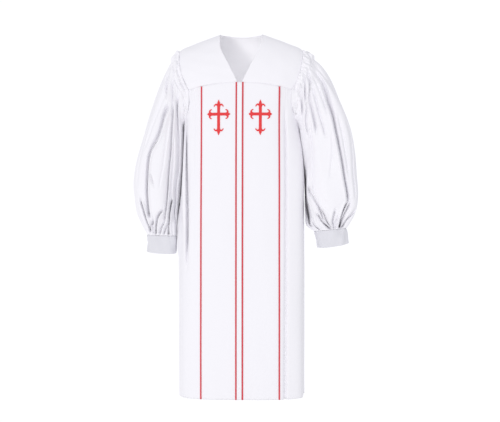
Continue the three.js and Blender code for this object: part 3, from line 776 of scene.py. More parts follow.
@dataclass
class Yokes:
    """The smooth yoke: two front halves and the back, with their turned edges."""

    form: RobeForm
    neck_share: dict[Part, float] = field(default_factory=lambda: {Part.FRONT: 0.45, Part.BACK: 0.42})
    seam_inset: float = 0.0015
    edge_roll: float = 0.5
    edge_width: float = 1.8

    def out_shoulder(self, share: Array, neck: float, u: Array, v: Array) -> tuple[Array, Array]:
        """Goes on from the neck edge, at the share that it takes, out along the shoulder."""
        out = np.clip((share - neck) / (1 - neck), 0, 1)
        along = mix(self.form.neck_half_width / self.form.tip_x, 1.0, out)
        return np.where(share < neck, u, along), np.where(share < neck, v, self.form.ridge_v)

    def front_top(self, side: Side, share: Array) -> tuple[Array, Array]:
        """The upper edge of a front half: up the V to the neck point, then out along the shoulder."""
        neck = self.neck_share[Part.FRONT]
        inner = np.clip(share / neck, 0, 1)
        drop = mix(self.form.neck_drops[-1], 0.0, inner)
        half = read_curve(self.form.neck_drops, self.form.neck_half_widths, drop)
        u, v = self.form.neck_place(Part.FRONT, side, half, 2, -drop)
        return self.out_shoulder(share, neck, u, v)

    def back_top(self, side: Side, share: Array) -> tuple[Array, Array]:
        """The upper edge of the back on one side: round the neck, then out along the shoulder."""
        neck = self.neck_share[Part.BACK]
        turn = np.clip(share / neck, 0, 1) * math.pi / 2
        u, v = self.form.neck_place(Part.BACK, side, self.form.neck_half_width * np.sin(turn), 1,
                                    self.form.neck_back_depth * np.cos(turn))
        return self.out_shoulder(share, neck, u, v)

    def relief(self, points: Array, seed: int) -> Array:
        """Faint pulls of the cloth and the turned-in edges, as a depth in millimetres."""
        x, z = points[..., 0] / 90, points[..., 2] / 70
        pull = 0.55 * waves(x, z, seed, 5)
        rows = np.concatenate([np.zeros((1, points.shape[1])),
                               np.cumsum(np.linalg.norm(np.diff(points, axis=0), axis=-1), 0)])
        from_top, from_foot = rows, rows[-1:] - rows
        roll = np.exp(-(from_top / self.edge_width) ** 2) + np.exp(-(from_foot / self.edge_width) ** 2)
        calm = smooth_step(from_top, 0, 12) * smooth_step(from_foot, 0, 12)
        return pull * calm - self.edge_roll * roll

    def build_front(self, side: Side) -> bpy.types.Object:
        """One front half of the yoke."""
        share = np.linspace(0, 1, 90)[None, :]
        down = np.linspace(0, 1, 70)[:, None]
        top_u, top_v = self.front_top(side, share)
        first = self.form.neck_half_widths[-1] / self.form.corner_x[Part.FRONT]
        u = mix(top_u, mix(first, 1.0, share), down)
        v = mix(top_v, 1 - self.seam_inset, down)
        points = self.form.yoke_point(Part.FRONT, side, u, v)
        normals = grid_normals(points, False) * -side.value
        points = points + normals * self.relief(points, 11 + side.value)[..., None]
        piece = sew(f"yoke_front_{side.word}", points, -side.value)
        return piece

    def build_back(self) -> bpy.types.Object:
        """The back of the yoke, in one piece."""
        across = np.linspace(-1, 1, 181)[None, :]
        down = np.linspace(0, 1, 70)[:, None]
        halves = []
        for side in (Side.RIGHT, Side.LEFT):
            top_u, top_v = self.back_top(side, np.abs(across))
            u = mix(top_u, np.abs(across), down)
            v = mix(top_v, 1 - self.seam_inset, down)
            halves.append(self.form.yoke_point(Part.BACK, side, u, v))
        points = join_halves(across, halves)
        points = points + grid_normals(points, False) * self.relief(points, 5)[..., None]
        piece = sew("yoke_back", points, 1)
        return piece


# ------------------------------------------------------------------------------------------------
# Body: front panels, sides and back
# ------------------------------------------------------------------------------------------------

GATHER_LENGTHS = {
    Side.RIGHT: (45.0, 90.0, 35.0, 120.0, 60.0, 95.0),
    Side.LEFT: (70.0, 40.0, 110.0, 55.0, 95.0, 50.0),
}


@dataclass
class BodyCloth:
    """The hanging cloth of the body, with its folds and flutes."""

    form: RobeForm
    seam_gap: float = 0.3
    flutes: int = 11
    flute_depth_top: float = 3.0
    flute_depth_hem: float = 12.0
    seam_roll: float = 0.4
    seam_width: float = 1.5
    flute_lean: float = 0.2
    flute_drift: float = 0.035
    pucker_depth: float = 1.4
    pucker_fade: float = 55.0
    pucker_top: float = 180.0
    gather_depth: float = 3.4
    gather_width: float = 2.4
    tuck: float = 3.0
    tuck_depth: float = 1.7
    gather_starts: tuple[float, ...] = (147.0, 154.5, 161.0, 170.0, 177.5, 184.0)
    folds: tuple[Fold, ...] = (
        Fold(Side.RIGHT, 196, 420, 900, 9, 4, fade=140),
        Fold(Side.RIGHT, 172, 215, 620, 15, 2.5),
        Fold(Side.RIGHT, 218, 235, 740, 6, -4, fade=110, top_arc=240),
        Fold(Side.RIGHT, 285, 600, 835, 22, -5.5, fade=60),
        Fold(Side.RIGHT, 244, 620, 1500, 16, 4),
        Fold(Side.LEFT, 168, 225, 1500, 9, 4, fade=160, drift=3),
        Fold(Side.LEFT, 228, 300, 1500, 30, -7, fade=160),
        Fold(Side.LEFT, 262, 240, 660, 30, -8, fade=120),
    )
    clefts: tuple[Fold, ...] = (
        Fold(Side.RIGHT, 199, 300, 890, 4.6, 32, fade=150, top_arc=218),
        Fold(Side.LEFT, 168, 225, 1500, 4.4, 12, fade=160, drift=2),
    )

    def fold_relief(self, folds: tuple[Fold, ...], side: Side, arc: Array, drop: Array) -> Array:
        """The folds of one side."""
        total = np.zeros(np.broadcast(arc, drop).shape)
        for fold in folds:
            if fold.side is side:
                start = fold.arc if fold.top_arc is None else fold.top_arc
                middle = mix(start, fold.arc, smooth_step(drop, 260, 740)) + fold.drift * np.sin(drop / 310)
                offset = (arc - middle) / fold.width
                begins = smooth_step(drop, fold.top, fold.top + fold.fade)
                ends = 1 - smooth_step(drop, fold.foot - fold.fade, fold.foot)
                total -= fold.depth * begins * ends * np.exp(-offset * offset)
        return total

    def seam_gathers(self, side: Side, arc: Array, drop: Array, top: Array) -> Array:
        """Small gathers under the yoke seam of the side panel, of uneven length."""
        total = np.zeros(np.broadcast(arc, drop).shape)
        below = drop - top
        for start, length in zip(self.gather_starts, GATHER_LENGTHS[side]):
            swell = smooth_step(below, 0, 8) * np.exp(-np.clip(below, 0, None) / length)
            total -= self.gather_depth * swell * np.exp(-(((arc - start) / self.gather_width) ** 2))
        return total

    def flute_relief(self, side: Side, arc: Array, drop: Array) -> Array:
        """The flutes of the back."""
        front = self.form.quarter_length(side, Part.FRONT, drop)
        back = self.form.quarter_length(side, Part.BACK, drop)
        behind = np.clip((arc - front) / back, 0, 1)
        across = side.value * (1 - behind)
        depth = mix(self.flute_depth_top, self.flute_depth_hem, smooth_step(drop, 200, self.form.hem_drop))
        begins = smooth_step(drop, 185, 300) * smooth_step(behind, 0, 0.14)
        phase = math.pi * self.flutes * (across + self.flute_drift * np.sin(5 * across + 0.6))
        pucker = np.cos(phase * 3.0 + 1.3 * np.sin(7 * across))
        pucker = pucker * np.exp(-np.clip(drop - self.pucker_top, 0, None) / self.pucker_fade)
        pucker = self.pucker_depth * pucker * smooth_step(drop, self.pucker_top, self.pucker_top + 16)
        pucker = pucker * smooth_step(behind, 0.0, 0.2)
        return depth * begins * (np.cos(phase) - self.flute_lean) + pucker

    def soft_relief(self, arc: Array, drop: Array, seed: int) -> Array:
        """Faint unevenness of hanging cloth, longer down the robe than across it."""
        return 0.5 * waves(arc / 85, drop / 420, seed) * smooth_step(drop, 190, 330)

    def relief(self, side: Side, arc: Array, drop: Array) -> Array:
        """Everything that lifts the body's cloth off its plain section."""
        return (self.fold_relief(self.folds, side, arc, drop) + self.flute_relief(side, arc, drop)
                + self.soft_relief(arc, drop, 31 + side.value))

    def point(self, side: Side, arc: Array, drop: Array, lift: Array = 0.0) -> Array:
        """A point of the body's cloth. The clefts run straight back, whichever way the cloth faces."""
        points = self.form.body_point(side, arc, drop, self.relief(side, arc, drop) + lift)
        points[..., 1] -= self.fold_relief(self.clefts, side, arc, drop)
        return points

    def edge_roll(self, distance: Array) -> Array:
        """How far a seamed edge turns in, by the distance from it."""
        return -self.seam_roll * np.exp(-(distance / self.seam_width) ** 2)

    def tuck_under(self, drop: Array, seam: Array) -> Array:
        """How far the upper edge lies in, so that it tucks under the yoke's edge."""
        return -self.tuck_depth * (1 - smooth_step(drop - seam, 0.3, 4.0))

    def build_front_panel(self, side: Side) -> bpy.types.Object:
        """One flat front panel, from the middle to the outer piping."""
        first, last = self.seam_gap, self.form.piping_arc[side] - self.seam_gap / 2
        arc = np.linspace(first, last, 40)[None, :]
        seam = self.form.seam(Part.FRONT, arc)
        drop = np.concatenate([seam + np.linspace(-self.tuck, 5.0, 8)[:, None],
                               mix(seam + 5.0, self.form.hem_drop, np.linspace(0, 1, 152)[1:, None])])
        lift = self.tuck_under(drop, seam) + self.edge_roll((last - arc) * 1.4)
        points = self.point(side, arc, drop, lift)
        piece = sew(f"front_panel_{side.word}", points, -side.value)
        return piece

    def build_side(self, side: Side) -> bpy.types.Object:
        """One front side panel, from the outer piping round to the side seam."""
        corner = self.form.corner_share[Part.FRONT, side]
        share = np.concatenate([np.linspace(0.001, corner, 26), np.linspace(corner, 0.999, 66)[1:]])
        share = share[None, :]
        top = self.form.panel_top(Part.FRONT, side, share) + self.seam_gap
        tucked = self.tuck * (1 - smooth_step(share, 0.85 * corner, corner))
        drop = np.concatenate([top - tucked * np.linspace(1, 0, 6)[:-1, None],
                               mix(top, self.form.hem_drop, np.linspace(0, 1, 175)[:, None] ** 1.15)])
        arc = self.form.panel_arc(Part.FRONT, side, share, drop)
        lift = self.tuck_under(drop, top) * (tucked / self.tuck) + self.edge_roll(drop - top)
        lift = lift + self.edge_roll((arc - self.form.piping_arc[side]) * 1.4)
        lift = lift + self.seam_gathers(side, arc, drop, top)
        points = self.point(side, arc, drop, lift)
        piece = sew(f"front_side_{side.word}", points, -side.value)
        return piece

    def build_back(self) -> bpy.types.Object:
        """The fluted back, in one piece."""
        across = np.linspace(-0.999, 0.999, 251)[None, :]
        steps = np.linspace(0, 1, 130)[:, None] ** 1.15
        halves = []
        for side in (Side.RIGHT, Side.LEFT):
            share = np.abs(across)
            top = self.form.panel_top(Part.BACK, side, share) + self.seam_gap
            drop = mix(top, self.form.hem_drop, steps)
            arc = self.form.panel_arc(Part.BACK, side, share, drop)
            halves.append(self.point(side, arc, drop, self.edge_roll(drop - top)))
        points = join_halves(across, halves)
        piece = sew("back_fluted", points, 1)
        return piece


# ------------------------------------------------------------------------------------------------
# Sleeves and cuffs
# ------------------------------------------------------------------------------------------------

SLEEVE_RINGS = {
    Side.RIGHT: (
        SleeveRing(249, 84, 212.5, 350, 88, 0),
        SleeveRing(279, 138, 213.5, 372, 95, 0),
        SleeveRing(311, 210, 215, 402, 100, 0),
        SleeveRing(344, 300, 217, 444, 103, -1),
        SleeveRing(370, 390, 221, 494, 105, -3),
        SleeveRing(389, 470, 225, 545, 106, -5),
        SleeveRing(397, 545, 228, 594, 104, -8),
        SleeveRing(392, 607, 230.5, 636, 97, -10),
        SleeveRing(385, 658, 232.5, 676, 84, -12),
        SleeveRing(369, 700, 233.5, 711, 62, -13),
        SleeveRing(347, 741, 236, 745, 34, -14),
    ),
    Side.LEFT: (
        SleeveRing(255, 80, 211, 350, 88, 0),
        SleeveRing(301, 127, 214, 372, 96, 0),
        SleeveRing(341, 187, 218, 402, 101, 0),
        SleeveRing(377, 268, 224, 442, 104, -1),
        SleeveRing(404, 350, 228, 490, 106, -3),
        SleeveRing(418, 435, 232.5, 542, 107, -5),
        SleeveRing(425, 520, 234.5, 590, 105, -8),
        SleeveRing(431, 590, 236, 632, 98, -10),
        SleeveRing(423, 643, 238, 672, 85, -12),
        SleeveRing(405, 684, 241, 706, 62, -13),
        SleeveRing(387, 716, 268, 727, 34, -14),
    ),
}

CUFF_FEET = {
    Side.RIGHT: SleeveRing(350, 800, 238, 807, 35, -12),
    Side.LEFT: SleeveRing(395, 769, 280, 785, 35, -12),
}

R, L, F, B = Side.RIGHT, Side.LEFT, Part.FRONT, Part.BACK

CREASES = (
    # Right sleeve, front: the long folds.
    Crease(R, F, ((0.12, 0.84), (0.148, 0.79), (0.18, 0.67), (0.22, 0.39), (0.245, 0.20)), 18, 20),
    Crease(R, F, ((0.21, 0.12), (0.237, 0.11), (0.293, 0.16), (0.352, 0.14), (0.402, 0.19),
                  (0.455, 0.33),
                  (0.498, 0.37), (0.558, 0.33), (0.632, 0.30), (0.69, 0.31), (0.86, 0.30)), 20, 32),
    Crease(R, F, ((0.10, 0.48), (0.118, 0.38), (0.163, 0.05), (0.20, -0.12)), 9, 15),
    Crease(R, F, ((0.16, 0.00), (0.228, -0.24), (0.302, -0.38), (0.40, -0.51), (0.507, -0.57),
                  (0.623, -0.60),
                  (0.732, -0.53), (0.88, -0.38)), 9, 20),
    Crease(R, F, ((0.06, 0.16), (0.09, -0.25), (0.238, -0.70), (0.362, -0.82), (0.48, -0.89),
                  (0.577, -0.88),
                  (0.68, -0.91), (0.87, -0.85)), 12, 19),
    Crease(R, F, ((0.17, 0.52), (0.26, 0.50), (0.36, 0.56), (0.50, 0.68)), 22, 7),
    Crease(R, F, ((0.24, -0.12), (0.36, -0.22), (0.497, -0.30), (0.638, -0.25)), 11, 5),
    Crease(R, F, ((0.30, -0.55), (0.45, -0.70), (0.66, -0.75), (0.80, -0.72)), 8, 9),
    Crease(R, F, ((0.545, 0.30), (0.597, 0.08), (0.645, -0.08)), -9, 9),
    Crease(R, F, ((0.36, 0.80), (0.52, 0.76), (0.66, 0.74)), 20, 5),
    # Right sleeve, front: the short folds into the cuff.
    Crease(R, F, ((0.70, 0.71), (0.735, 0.66), (0.773, 0.59), (0.815, 0.54), (0.887, 0.53),
                  (0.97, 0.60)), 10, 26),
    Crease(R, F, ((0.75, -0.42), (0.773, -0.35), (0.825, -0.14), (0.907, 0.09), (1.01, 0.45)), 9, 28),
    Crease(R, F, ((0.66, -0.83), (0.75, -0.70), (0.85, -0.61), (1.01, -0.45)), 9, 28),
    Crease(R, F, ((0.84, -0.45), (0.892, -0.30), (1.01, 0.20)), 6, 18),
    Crease(R, F, ((0.85, -0.62), (0.898, -0.50), (1.01, -0.08)), 6, 16),
    Crease(R, F, ((0.85, 0.10), (0.892, 0.27), (0.943, 0.58), (0.99, 0.72)), -6, 17),
    Crease(R, F, ((0.78, -0.92), (0.955, -0.96), (1.01, -0.96)), 6, 13),
    Crease(R, F, ((0.82, 0.08), (0.92, 0.32), (1.01, 0.60)), 6, 13),
    # Right sleeve, back.
    Crease(R, B, ((0.05, 0.62), (0.20, 0.42), (0.45, 0.30), (0.70, 0.40), (0.95, 0.52)), 17, 22),
    Crease(R, B, ((0.05, 0.10), (0.25, -0.20), (0.50, -0.38), (0.80, -0.42)), 14, 18),
    Crease(R, B, ((0.08, 0.85), (0.22, 0.74), (0.42, 0.70)), 10, 11),
    Crease(R, B, ((0.10, -0.35), (0.30, -0.62), (0.55, -0.75), (0.85, -0.72)), 12, 15),
    Crease(R, B, ((0.30, 0.08), (0.45, 0.02), (0.62, 0.06)), 12, 7),
    Crease(R, B, ((0.72, -0.12), (0.85, 0.02), (1.01, 0.20)), 9, 20),
    Crease(R, B, ((0.76, -0.58), (0.88, -0.42), (1.01, -0.30)), 7, 18),
    Crease(R, B, ((0.80, 0.78), (0.90, 0.74), (1.01, 0.80)), 7, 15),
    # Left sleeve, front: the long folds.
    Crease(L, F, ((0.11, 0.72), (0.155, 0.67), (0.20, 0.65), (0.248, 0.58), (0.302, 0.51),
                  (0.357, 0.48),
                  (0.418, 0.41), (0.483, 0.39), (0.55, 0.42), (0.618, 0.47), (0.678, 0.53),
                  (0.78, 0.62)), 22, 32),
    Crease(L, F, ((0.07, 0.47), (0.123, 0.34), (0.15, 0.01), (0.228, -0.16), (0.36, -0.32)), 10, 19),
    Crease(L, F, ((0.11, 0.42), (0.173, 0.23), (0.247, 0.08), (0.323, 0.01), (0.42, 0.00)), 9, 13),
    Crease(L, F, ((0.05, 0.36), (0.077, 0.23), (0.105, -0.11), (0.15, -0.34)), 7, 17),
    Crease(L, F, ((0.04, 0.03), (0.067, -0.15), (0.095, -0.45), (0.15, -0.64)), 7, 17),
    Crease(L, F, ((0.10, -0.06), (0.138, -0.16), (0.21, -0.52), (0.32, -0.68)), 11, 14),
    Crease(L, F, ((0.11, 0.58), (0.16, 0.50), (0.25, 0.39), (0.34, 0.30)), 8, 11),
    Crease(L, F, ((0.10, 0.88), (0.18, 0.84), (0.28, 0.84), (0.36, 0.88)), 8, 11),
    Crease(L, F, ((0.40, 0.84), (0.475, 0.88), (0.535, 0.87), (0.612, 0.84), (0.76, 0.84)), 9, 11),
    Crease(L, F, ((0.24, -0.42), (0.40, -0.58), (0.58, -0.66), (0.70, -0.62)), 16, 8),
    Crease(L, F, ((0.40, 0.26), (0.50, 0.12), (0.62, -0.10)), 18, 5),
    Crease(L, F, ((0.36, 0.66), (0.50, 0.62), (0.64, 0.68)), 14, 7),
    # Left sleeve, front: the short folds into the cuff.
    Crease(L, F, ((0.58, -0.86), (0.618, -0.80), (0.705, -0.64), (0.802, -0.45), (0.942, -0.12),
                  (1.01, 0.02)), -10, 21),
    Crease(L, F, ((0.75, -0.55), (0.775, -0.46), (0.842, -0.24), (0.958, 0.06), (1.01, 0.12)), -9, 23),
    Crease(L, F, ((0.79, -0.68), (0.813, -0.60), (0.893, -0.32), (0.955, -0.04), (1.01, 0.06)), -8, 19),
    Crease(L, F, ((0.69, -0.88), (0.717, -0.86), (0.815, -0.80), (0.938, -0.65),
                  (1.01, -0.58)), -8, 17),
    Crease(L, F, ((0.42, -0.98), (0.62, -0.95), (0.78, -0.89), (0.90, -0.83),
                  (0.98, -0.80)), -22, 85, 0.2),
    Crease(L, F, ((0.78, 0.14), (0.805, 0.12), (0.868, 0.11), (0.95, 0.19), (1.01, 0.22)), 11, 22),
    Crease(L, F, ((0.74, 0.62), (0.763, 0.59), (0.832, 0.50), (0.947, 0.52), (1.01, 0.53)), 10, 31),
    Crease(L, F, ((0.75, 0.73), (0.85, 0.60), (0.93, 0.55), (1.01, 0.56)), 8, 23),
    Crease(L, F, ((0.80, 0.92), (0.865, 0.86), (0.962, 0.70), (1.01, 0.64)), 7, 22),
    Crease(L, F, ((0.84, 0.34), (0.91, 0.28), (1.01, 0.32)), 6, 12),
    # Left sleeve, back.
    Crease(L, B, ((0.06, 0.70), (0.20, 0.55), (0.45, 0.42), (0.70, 0.48), (0.92, 0.56)), 17, 22),
    Crease(L, B, ((0.05, 0.18), (0.22, -0.10), (0.48, -0.30), (0.78, -0.36)), 14, 18),
    Crease(L, B, ((0.08, -0.25), (0.28, -0.58), (0.55, -0.70), (0.84, -0.70)), 12, 15),
    Crease(L, B, ((0.10, 0.92), (0.26, 0.84), (0.45, 0.80)), 10, 11),
    Crease(L, B, ((0.34, 0.12), (0.48, 0.06), (0.62, 0.10)), 12, 7),
    Crease(L, B, ((0.74, -0.10), (0.86, 0.04), (1.01, 0.16)), 9, 20),
    Crease(L, B, ((0.78, -0.62), (0.88, -0.48), (1.01, -0.34)), 7, 18),
    Crease(L, B, ((0.80, 0.84), (0.90, 0.78), (1.01, 0.82)), 7, 15),
)


@dataclass
class Sleeves:
    """The full sleeves, gathered at the head and the cuff, and their plain cuffs."""

    form: RobeForm
    square: float = 2.3
    tuck: float = 2.0
    tuck_depth: float = 1.8
    gathers: int = 15
    head_depth: float = 4.5
    cuff_depth: float = 6.0
    heading_low: float = 0.036
    heading_high: float = 0.12
    cuff_dip: float = 6.0
    steep: float = 2.2
    slit: float = 2.7
    slope_share: float = 0.45
    slit_share: float = 0.75
    lip_share: float = 0.2
    least_half: float = 30.0
    billow: float = 4.2
    shirr_turns: float = 58.0
    shirr_height: float = 2.2
    shirr_crumple: float = 4.2
    shirr_swell: float = 3.2
    stitch_depth: float = 5.0
    stitch_pucker: float = 3.0
    cuff_unevenness: float = 2.0
    pinch_depth: float = 1.8
    length: float = 700.0
    seam_share: float = 0.25
    front_columns: int = 180
    back_columns: int = 116

    def across(self, turn: Array) -> Array:
        """How far across a section a turn lies: 1 at the outer edge, -1 at the inner one."""
        cosine = np.cos(turn)
        return np.sign(cosine) * np.abs(cosine) ** (2 / self.square)

    def ring_point(self, side: Side, ring: SleeveRing, turn: Array) -> Array:
        """A point of one oval section."""
        across, sine = self.across(turn), np.sin(turn)
        along = np.abs(sine) ** (2 / self.square)
        x = (ring.out_x + ring.in_x) / 2 + across * (ring.out_x - ring.in_x) / 2
        z = -((ring.out_drop + ring.in_drop) / 2 + across * (ring.out_drop - ring.in_drop) / 2)
        y = ring.middle + np.where(sine > 0, -1, 1) * ring.reach * along
        return np.stack([side.value * x, y, z], -1)

    def plain(self, side: Side, turn: Array, shares: Array) -> Array:
        """The sleeve's plain form: a smooth curve through the armhole and every section."""
        edge = self.form.armhole_point(side, turn)
        first = self.ring_point(side, SLEEVE_RINGS[side][0], turn)
        away = first - edge
        away = away / np.linalg.norm(away, axis=-1, keepdims=True)
        knots = [edge - away * self.tuck]
        knots += [self.ring_point(side, ring, turn) for ring in SLEEVE_RINGS[side]]
        knots = np.stack(knots)
        last = len(knots) - 1
        place = shares * last
        index = np.minimum(place.astype(int), last - 1)
        t = (place - index)[:, None, None]
        before, start = knots[np.maximum(index - 1, 0)], knots[index]
        finish, after = knots[index + 1], knots[np.minimum(index + 2, last)]
        return hermite(start, finish - start, (finish - before) / 2, (after - start) / 2, t)

    def half_width(self, side: Side, share: Array) -> Array:
        """Half the sleeve's width at a share of its length."""
        rings = SLEEVE_RINGS[side]
        halves = [rings[0].out_x / 2 - rings[0].in_x / 2] + [(ring.out_x - ring.in_x) / 2 for ring in rings]
        return np.interp(share, np.linspace(0, 1, len(halves)), halves)

    def crease_relief(self, side: Side, turn: Array, share: Array) -> Array:
        """The creases, as uneven troughs straight in from the front or back, each with a soft lip."""
        across = self.across(turn)
        half = np.maximum(self.half_width(side, share), self.least_half)
        total = np.zeros(np.broadcast(turn, share).shape)
        for crease in CREASES:
            if crease.side is not side:
                continue
            facing = np.where((np.sin(turn) > 0) == (crease.face is Part.FRONT), 1.0, 0.0)
            shares, places = zip(*crease.path)
            line = read_curve(shares, places, share)
            tilt = np.gradient((line * half)[:, 0], share[:, 0] * self.length)[:, None]
            offset = (across - line) * half * math.copysign(1.0, crease.width) / np.sqrt(1 + tilt ** 2)
            begins = smooth_step(share, shares[0], shares[0] + crease.fade)
            ends = 1 - smooth_step(share, shares[-1] - crease.fade, shares[-1])
            ends = ends * mix(1.0, self.seam_share, smooth_step(share, 0.97, 1.0))
            gentle = np.exp(-(np.maximum(offset, 0) / abs(crease.width)) ** 1.3)
            steep = np.exp(-(np.minimum(offset, 0) / self.steep) ** 2)
            slit = np.exp(-(offset / (self.slit * (0.75 + abs(crease.width) / 24))) ** 2)
            lip = self.lip_share * np.exp(-((offset + 3.4 * self.steep) / (2.2 * self.steep)) ** 2)
            trough = self.slope_share * np.where(offset > 0, gentle, steep) + self.slit_share * slit
            total -= facing * crease.depth * begins * ends * (trough - lip)
        return total * smooth_step(np.abs(np.sin(turn)), 0.0, 0.3)

    def gather_relief(self, side: Side, turn: Array, share: Array) -> Array:
        """Gathers at the head and the cuff, each of its own length."""
        uneven = turn + 0.09 * np.sin(2 * turn + side.value) + 0.05 * np.sin(5 * turn)
        rng = np.random.default_rng(70 + side.value)
        underarm = 1 - 0.75 * smooth_step(-np.cos(turn), 0.3, 0.95)
        count = self.gathers * 2
        total = np.zeros(np.broadcast(turn, share).shape)
        for index in range(count):
            middle = index * math.tau / count + rng.uniform(-0.06, 0.06)
            slant = rng.uniform(-0.35, 0.35)
            for foot in (False, True):
                length = rng.uniform(0.04, 0.17) * (1.35 if index % 2 else 0.7)
                depth = (self.cuff_depth if foot else self.head_depth) * rng.uniform(0.5, 1.25)
                width = rng.uniform(0.045, 0.075)
                distance = (1 - share) if foot else share
                offset = np.angle(np.exp(1j * (uneven - middle - slant * distance)))
                swell = smooth_step(distance, 0.0, 0.02 if foot else 0.045)
                swell = swell * np.exp(-(distance / length) ** 1.5)
                amount = depth * swell * (1.0 if foot else underarm)
                total -= amount * np.exp(-(offset / (width * (1 + 1.4 * distance))) ** 2)
        wave = np.cos(self.gathers * uneven)
        head = smooth_step(share, 0, 0.05) * np.exp(-share / 0.11) * underarm
        foot = (1 - smooth_step(share, 0.965, 1) * 0.8) * np.exp(-(1 - share) / 0.09)
        return 0.6 * total + 0.35 * wave * (self.head_depth * head + self.cuff_depth * foot)

    def heading_depth(self, turn: Array) -> Array:
        """Share of the sleeve's length that the shirred heading takes, at each turn."""
        return mix(self.heading_low, self.heading_high, np.clip((self.across(turn) + 0.5) / 1.35, 0, 1))

    def heading_relief(self, side: Side, turn: Array, share: Array) -> Array:
        """The shirred heading: tight puckers between the armhole seam and the gathering stitches."""
        depth = self.heading_depth(turn) * (1 + 0.10 * np.sin(7 * turn + side.value))
        place = share / depth
        band = smooth_step(place, 0.0, 0.15) * (1 - smooth_step(place, 0.8, 1.0))
        stitches = np.exp(-((place - 1.0) / 0.10) ** 2)
        pucker = np.cos(self.shirr_turns * turn + 2.6 * np.sin(9 * turn + side.value) + 3.0 * place)
        crumple = waves(turn * 3.0, place * 1.2, 90 + side.value, 9)
        underarm = 1 - 0.8 * smooth_step(-np.cos(turn), 0.3, 0.95)
        shirring = band * (self.shirr_height * pucker + self.shirr_crumple * crumple + self.shirr_swell)
        shirring = shirring - stitches * (self.stitch_depth + self.stitch_pucker * pucker)
        return underarm * shirring - self.tuck_depth * (1 - smooth_step(share, 0.001, 0.009))

    def soft_relief(self, side: Side, turn: Array, share: Array) -> Array:
        """Broad soft billows of the full cloth."""
        around, along = np.cos(turn) * 1.1 + side.value, share * 1.4 + 0.4 * np.sin(turn)
        swell = self.billow * waves(around, along, 40 + side.value, 6)
        return swell * smooth_step(share, 0.05, 0.3) * (1 - smooth_step(share, 0.85, 1))

    def build_sleeve(self, side: Side) -> bpy.types.Object:
        """One full sleeve."""
        turn = np.concatenate([np.linspace(0, math.pi, self.front_columns, endpoint=False),
                               np.linspace(math.pi, math.tau, self.back_columns, endpoint=False)])
        shares = np.concatenate([np.linspace(0, 0.13, 28), np.linspace(0.13, 0.74, 60)[1:],
                                 np.linspace(0.74, 1, 68)[1:]])
        points = self.plain(side, turn, shares)
        grid_turn, grid_share = turn[None, :], shares[:, None]
        relief = self.gather_relief(side, grid_turn, grid_share)
        relief = relief + self.heading_relief(side, grid_turn, grid_share)
        relief = relief + self.soft_relief(side, grid_turn, grid_share)
        points = points + side.value * grid_normals(points, True) * relief[..., None]
        points[..., 1] -= np.sign(np.sin(grid_turn)) * self.crease_relief(side, grid_turn, grid_share)
        piece = sew(f"sleeve_{side.word}", points, side.value, ring=True)
        return piece

    def build_cuff(self, side: Side) -> bpy.types.Object:
        """One plain cuff."""
        turn = np.linspace(0, math.tau, 140, endpoint=False)
        share = np.linspace(0, 1, 36)[:, None]
        top = self.ring_point(side, SLEEVE_RINGS[side][-1], turn)[None]
        foot = self.ring_point(side, CUFF_FEET[side], turn)[None]
        points = mix(top, foot, share[..., None])
        points[..., 2] -= 0.5 + self.cuff_dip * share * np.maximum(np.sin(turn), 0)[None, :]
        relief = self.cuff_unevenness * waves(turn[None, :] * 0.9, share * 0.9, 60 + side.value, 6)
        relief -= 0.9 * np.exp(-(share / 0.035) ** 2) + 0.5 * np.exp(-((1 - share) / 0.03) ** 2)
        pinch_line = (np.cos(turn)[None, :] + 0.45 + 0.25 * share) / 0.05
        pinch = self.pinch_depth * np.exp(-pinch_line ** 2) * np.exp(-(share / 0.3) ** 2)
        pinch = pinch * (np.sin(turn) > 0)[None, :]
        points = points + side.value * grid_normals(points, True) * (relief - pinch)[..., None]
        # The cuff wears the robe's cloth with painted shade darkening its tone.
        piece = sew(f"cuff_{side.word}", points, side.value, SHADED_CUFF_CLOTH, ring=True)
        return piece


# ------------------------------------------------------------------------------------------------
# Trim: placket, piping and crosses
# ------------------------------------------------------------------------------------------------

@dataclass(frozen=True)
class CrossArm:
    """One arm of a fleury cross: its length, and how far its leaf stands beyond the curls."""

    length: float
    leaf: float


